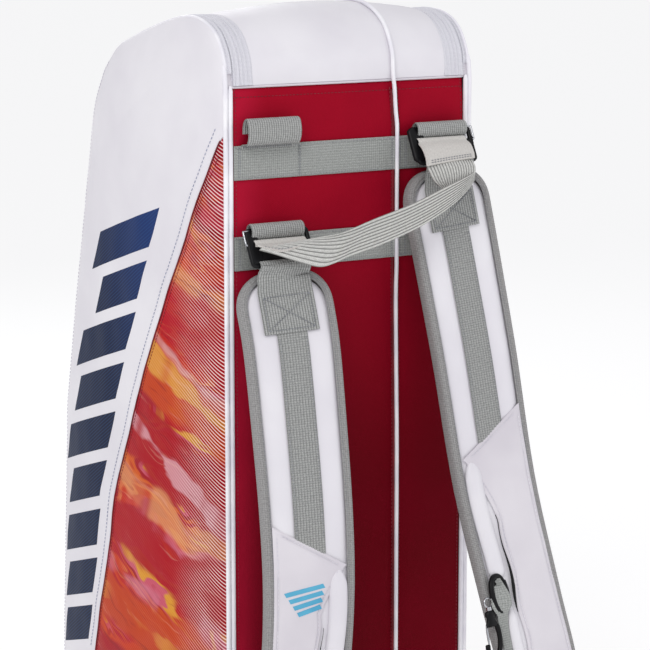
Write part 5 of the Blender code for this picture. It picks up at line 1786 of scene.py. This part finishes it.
def shoulder_strap(strap):
    strap_pad(strap)
    strap_binding(strap)
    strap_tab(strap)
    strap_webbing(strap)
    cover_edge = strap_cover(strap)
    strap.sewing.make(f"{strap.side}_strap_stitches", strap.body,
                      [THREAD_GREY, THREAD_GREY, THREAD], "grey_webbing", recalc=False)
    if strap.side == "left":
        cover_mark(strap)
    strap_ring(strap)
    ring_tape(strap)
    rolled_edge(strap)
    painted_cover_shadow(strap, *cover_edge)
    snap_hook(strap)
    lower_webbing(strap)


# ---------------------------------------------------------------- zip sliders and pulls
# stations: distance down the zip, half width, half height
SLIDER_BODY = ((-0.0080, 0.0032, 0.0012), (-0.0074, 0.0042, 0.0020), (-0.004, 0.0052, 0.0024),
               (0.002, 0.0056, 0.0024), (0.0062, 0.0050, 0.0022), (0.0080, 0.0036, 0.0014))
PULL_GRIP = ((0.0205, 0.0020, 0.0007), (0.0212, 0.0030, 0.0010), (0.0245, 0.0036, 0.0010),
             (0.033, 0.0040, 0.0010), (0.0372, 0.0036, 0.0010), (0.0385, 0.0024, 0.0006))


def zip_slider(side, which, centre):
    piece = Piece()
    down, widths, heights = np.array(SLIDER_BODY).T
    piece.sweep([centre + FRONT_DOWN * d + FRONT_OUT * 0.0024 for d in down], X_AXIS,
                FRONT_OUT, stretched(oval(1, 1, 16, 0.5, 0.5), widths, heights * 0.75))
    bridge = [centre + FRONT_DOWN * d + FRONT_OUT * height for d, height in (
        (-0.0050, 0.0036), (-0.0035, 0.0060), (0.0, 0.0066), (0.0035, 0.0060),
        (0.0050, 0.0036))]
    piece.cord(resample(spline(bridge, 5), 0.0008), 0.0010, ref=X_AXIS)
    piece.make(f"{side}_zip_slider_{which}", f"{side}_slider_{which}", [CHROME], "zip_metal",
               f"{side}_slider_{which}", angle=45)


def zip_pull(side, which, top):
    """A wire eye, a doubled cord and a moulded grip with three ribs."""
    piece = Piece()
    radius = 0.0030
    eye = [top + FRONT_DOWN * (0.0022 + radius * math.cos(a)) + X_AXIS * (radius * math.sin(a))
           for a in np.linspace(0, 2 * math.pi, 22, endpoint=False)]
    piece.cord(eye, 0.00065, 8, 1, closed=True, ref=FRONT_OUT)
    for sign, _ in SIDES:
        line = [top + FRONT_DOWN * down + X_AXIS * x * sign for down, x in (
            (0.0048, 0.0005), (0.010, 0.0013), (0.017, 0.0015), (0.023, 0.0012))]
        piece.cord(resample(line, 0.001), 0.00078, 8, 2, ref=FRONT_OUT)
    down, widths, heights = np.array(PULL_GRIP).T
    piece.sweep([top + FRONT_DOWN * d for d in down], X_AXIS, FRONT_OUT,
                stretched(oval(1, 1, 16, 0.6, 0.6), widths, heights))
    for down in (0.026, 0.029, 0.032):
        rib = [top + FRONT_DOWN * down + X_AXIS * x + FRONT_OUT * 0.0009
               for x in (-0.0026, -0.002, 0.002, 0.0026)]
        piece.cord(rib, 0.0004, 6, ref=FRONT_OUT, round_end=True)
    piece.make(f"{side}_zip_pull_{which}", f"{side}_pull_{which}", [BLACK, CHROME, WEB_LIGHT],
               "black_plastic", f"{side}_pull_{which}", angle=45)


# ---------------------------------------------------------------- front carry handle
FRONT_TAB_ZS = (0.352, 0.205)


def front_tab(name, z):
    """Short webbing on the front with a cross-stitched end."""
    centre = on_front(z, 0.0, 0.0075)
    piece = Piece()
    piece.sweep([centre + FRONT_DOWN * d for d in np.linspace(-0.011, 0.011, 14)], X_AXIS,
                FRONT_OUT, rib_section(0.015, 0.0017, 13, 0.0003))
    reach = 0.0085
    for start, end in ((-reach, -reach), (reach, reach), (reach, -reach), (-reach, reach)):
        line = [centre + FRONT_DOWN * down + X_AXIS * x + FRONT_OUT * 0.0009
                for down, x in zip(np.linspace(start, end, 10), np.linspace(-0.013, 0.013, 10))]
        piece.stitches(line, FRONT_OUT, 0.0026, 0.00045, 1)
    piece.make(name + "_webbing", "bag", [WEB_BOLD, THREAD_GREY], "grey_webbing", name,
               recalc=False)


def front_grip():
    """Bowed grip between the two tabs, with fine flutes along it."""
    top, low = (on_front(z, 0, 0) for z in FRONT_TAB_ZS)
    part = np.linspace(0, 1, 70)
    bow = np.sin(math.pi * part)
    line = (top + (low - top) * (0.02 + 0.96 * part)[:, None]
            + FRONT_OUT * (0.0140 + 0.022 * bow ** 0.6)[:, None])
    section = oval(1, 1, 28, 0.55, 0.7)
    angle = np.arange(28) * 2 * math.pi / 28
    section[:, 1] *= 1 - 0.10 * np.abs(np.sin(angle * 7))
    sections = stretched(section, 0.005 + 0.008 * np.minimum(1.0, bow * 1.5),
                         0.0012 + 0.0035 * bow)
    piece = Piece()
    piece.sweep(line, *fixed_frames(line, X_AXIS), sections)
    piece.make("front_grip", "front_handle", [WEB_BOLD], "grey_webbing", "front_handle",
               angle=50)


# ---------------------------------------------------------------- floor, light, camera
def pale_floor():
    grid = bmesh.new()
    bmesh.ops.create_grid(grid, x_segments=2, y_segments=2, size=60.0)
    mesh = bpy.data.meshes.new("floor")
    grid.to_mesh(mesh)
    grid.free()
    floor = bpy.data.objects.new("floor", mesh)
    scene.collection.objects.link(floor)
    sh = Shader("pale_floor")
    mesh.materials.append(sh.finish((0.50, 0.50, 0.50, 1), rough=0.95, spec=0.0))
    sh.surface.inputs["Emission Color"].default_value = (1, 1, 1, 1)
    sh.surface.inputs["Emission Strength"].default_value = 0.57
    floor.location.z = -0.0005


def soft_sky():
    """A dim cool sky as light, a brighter white one where the camera sees it."""
    world = bpy.data.worlds.new("soft_sky")
    scene.world = world
    world.use_nodes = True
    tree = world.node_tree
    light = tree.nodes["Background"]
    light.inputs["Color"].default_value = (0.965, 0.965, 0.99, 1)
    light.inputs["Strength"].default_value = 0.72
    seen = tree.nodes.new("ShaderNodeBackground")
    seen.inputs["Color"].default_value = (1, 1, 1, 1)
    seen.inputs["Strength"].default_value = 0.94
    rays = tree.nodes.new("ShaderNodeLightPath")
    mix = tree.nodes.new("ShaderNodeMixShader")
    tree.links.new(rays.outputs["Is Camera Ray"], mix.inputs[0])
    tree.links.new(light.outputs[0], mix.inputs[1])
    tree.links.new(seen.outputs[0], mix.inputs[2])
    tree.links.new(mix.outputs[0], tree.nodes["World Output"].inputs[0])


def softbox(name, place, target, size, power, tone=(1, 1, 1)):
    """Square area light aimed at a target."""
    light = bpy.data.lights.new(name, "AREA")
    light.shape = "RECTANGLE"
    light.size = light.size_y = size
    light.energy = power
    light.color = tone
    ob = bpy.data.objects.new(name, light)
    ob.location = place
    ob.rotation_mode = "QUATERNION"
    ob.rotation_quaternion = (Vector(target) - Vector(place)).to_track_quat("-Z", "Y")
    scene.collection.objects.link(ob)


def add_camera():
    camera = bpy.data.cameras.new("camera")
    camera.lens, camera.sensor_width = 144.0, 36.0
    camera.clip_end = 300
    ob = bpy.data.objects.new("camera", camera)
    azimuth, elevation = math.radians(-32.5), math.radians(9.8222)
    backward = Vector((math.sin(azimuth) * math.cos(elevation),
                       -math.cos(azimuth) * math.cos(elevation), math.sin(elevation)))
    ob.location = (-1.259611, -2.08903392, 0.86932418)
    ob.rotation_mode = "QUATERNION"
    ob.rotation_quaternion = (-backward).to_track_quat("-Z", "Y")
    scene.collection.objects.link(ob)
    scene.camera = ob


# ---------------------------------------------------------------- build
gusset("gusset_dome", "dome_panel", dome_line, crown_height(dome_marks), seams=[], seed=2.0)
gusset("gusset_front", "front_panel", resample(front_curve[:-2], 0.006), 0.006,
       seams=[0.165, 0.560], seed=31.0)
base_panel()
back_panel()
inner_wall()
centre_cord()
top_hem()
for sign, side in SIDES:
    zip_side(sign, side)
for sign, side in SIDES:
    lid(sign, side)

band("upper_band", UPPER_BAND_Z)
band("lower_band", LOWER_BAND_Z)
web_loop("upper_left", -LOOP_X - 0.0030, UPPER_LOOP_Z + 0.0075, tall=0.0112,
         rows=(-0.0142, -0.0128))
web_loop("lower_left", -LOOP_X, LOWER_LOOP_Z)
web_loop("upper_right", RIGHT_LOOP_X, UPPER_LOOP_Z)
web_loop("lower_right", RIGHT_LOOP_X, LOWER_LOOP_Z, fill=0.60)
snap_ring("left", -1, latch_x=0.0045, latch_half=0.0062, plate_and_shadow_end=0.62)
snap_ring("right", 1, latch_x=0.0030, latch_half=0.0080, plate_and_shadow_end=0.10)
handle_end("left", 0.0, left_flap, [WEB_LIGHT])
handle_end("right", -0.0030, right_flap, [WEB_LIGHT, WEB_HANDLE])
strap_fold("left")
strap_fold("right")
carry_handle()
shoulder_strap(Strap("left", LEFT_PATH, math.radians(13.0), inner=1))
shoulder_strap(Strap("right", RIGHT_PATH, math.radians(3.5), inner=-1))

for sign, side in SIDES:
    for which, z in (("upper", 0.315), ("lower", 0.262)):
        zip_slider(side, which, on_front(z, sign * 0.1215, 0.0))
        zip_pull(side, which, on_front(z, sign * 0.1215, 0.0075))
for end, z in zip(("top", "bottom"), FRONT_TAB_ZS):
    front_tab(f"front_handle_tab_{end}", z)
front_grip()

pale_floor()
soft_sky()
softbox("key", (-1.7, -1.6, 2.2), (0, 0, 0.45), size=1.2, power=25, tone=(1.0, 0.99, 0.97))
softbox("fill", (1.9, -2.2, 1.1), (0, 0, 0.4), size=1.6, power=7, tone=(0.97, 0.98, 1.0))
softbox("rim", (0.6, 2.2, 1.9), (0, 0, 0.5), size=1.4, power=10)
add_camera()
scene.view_settings.view_transform = "Standard"
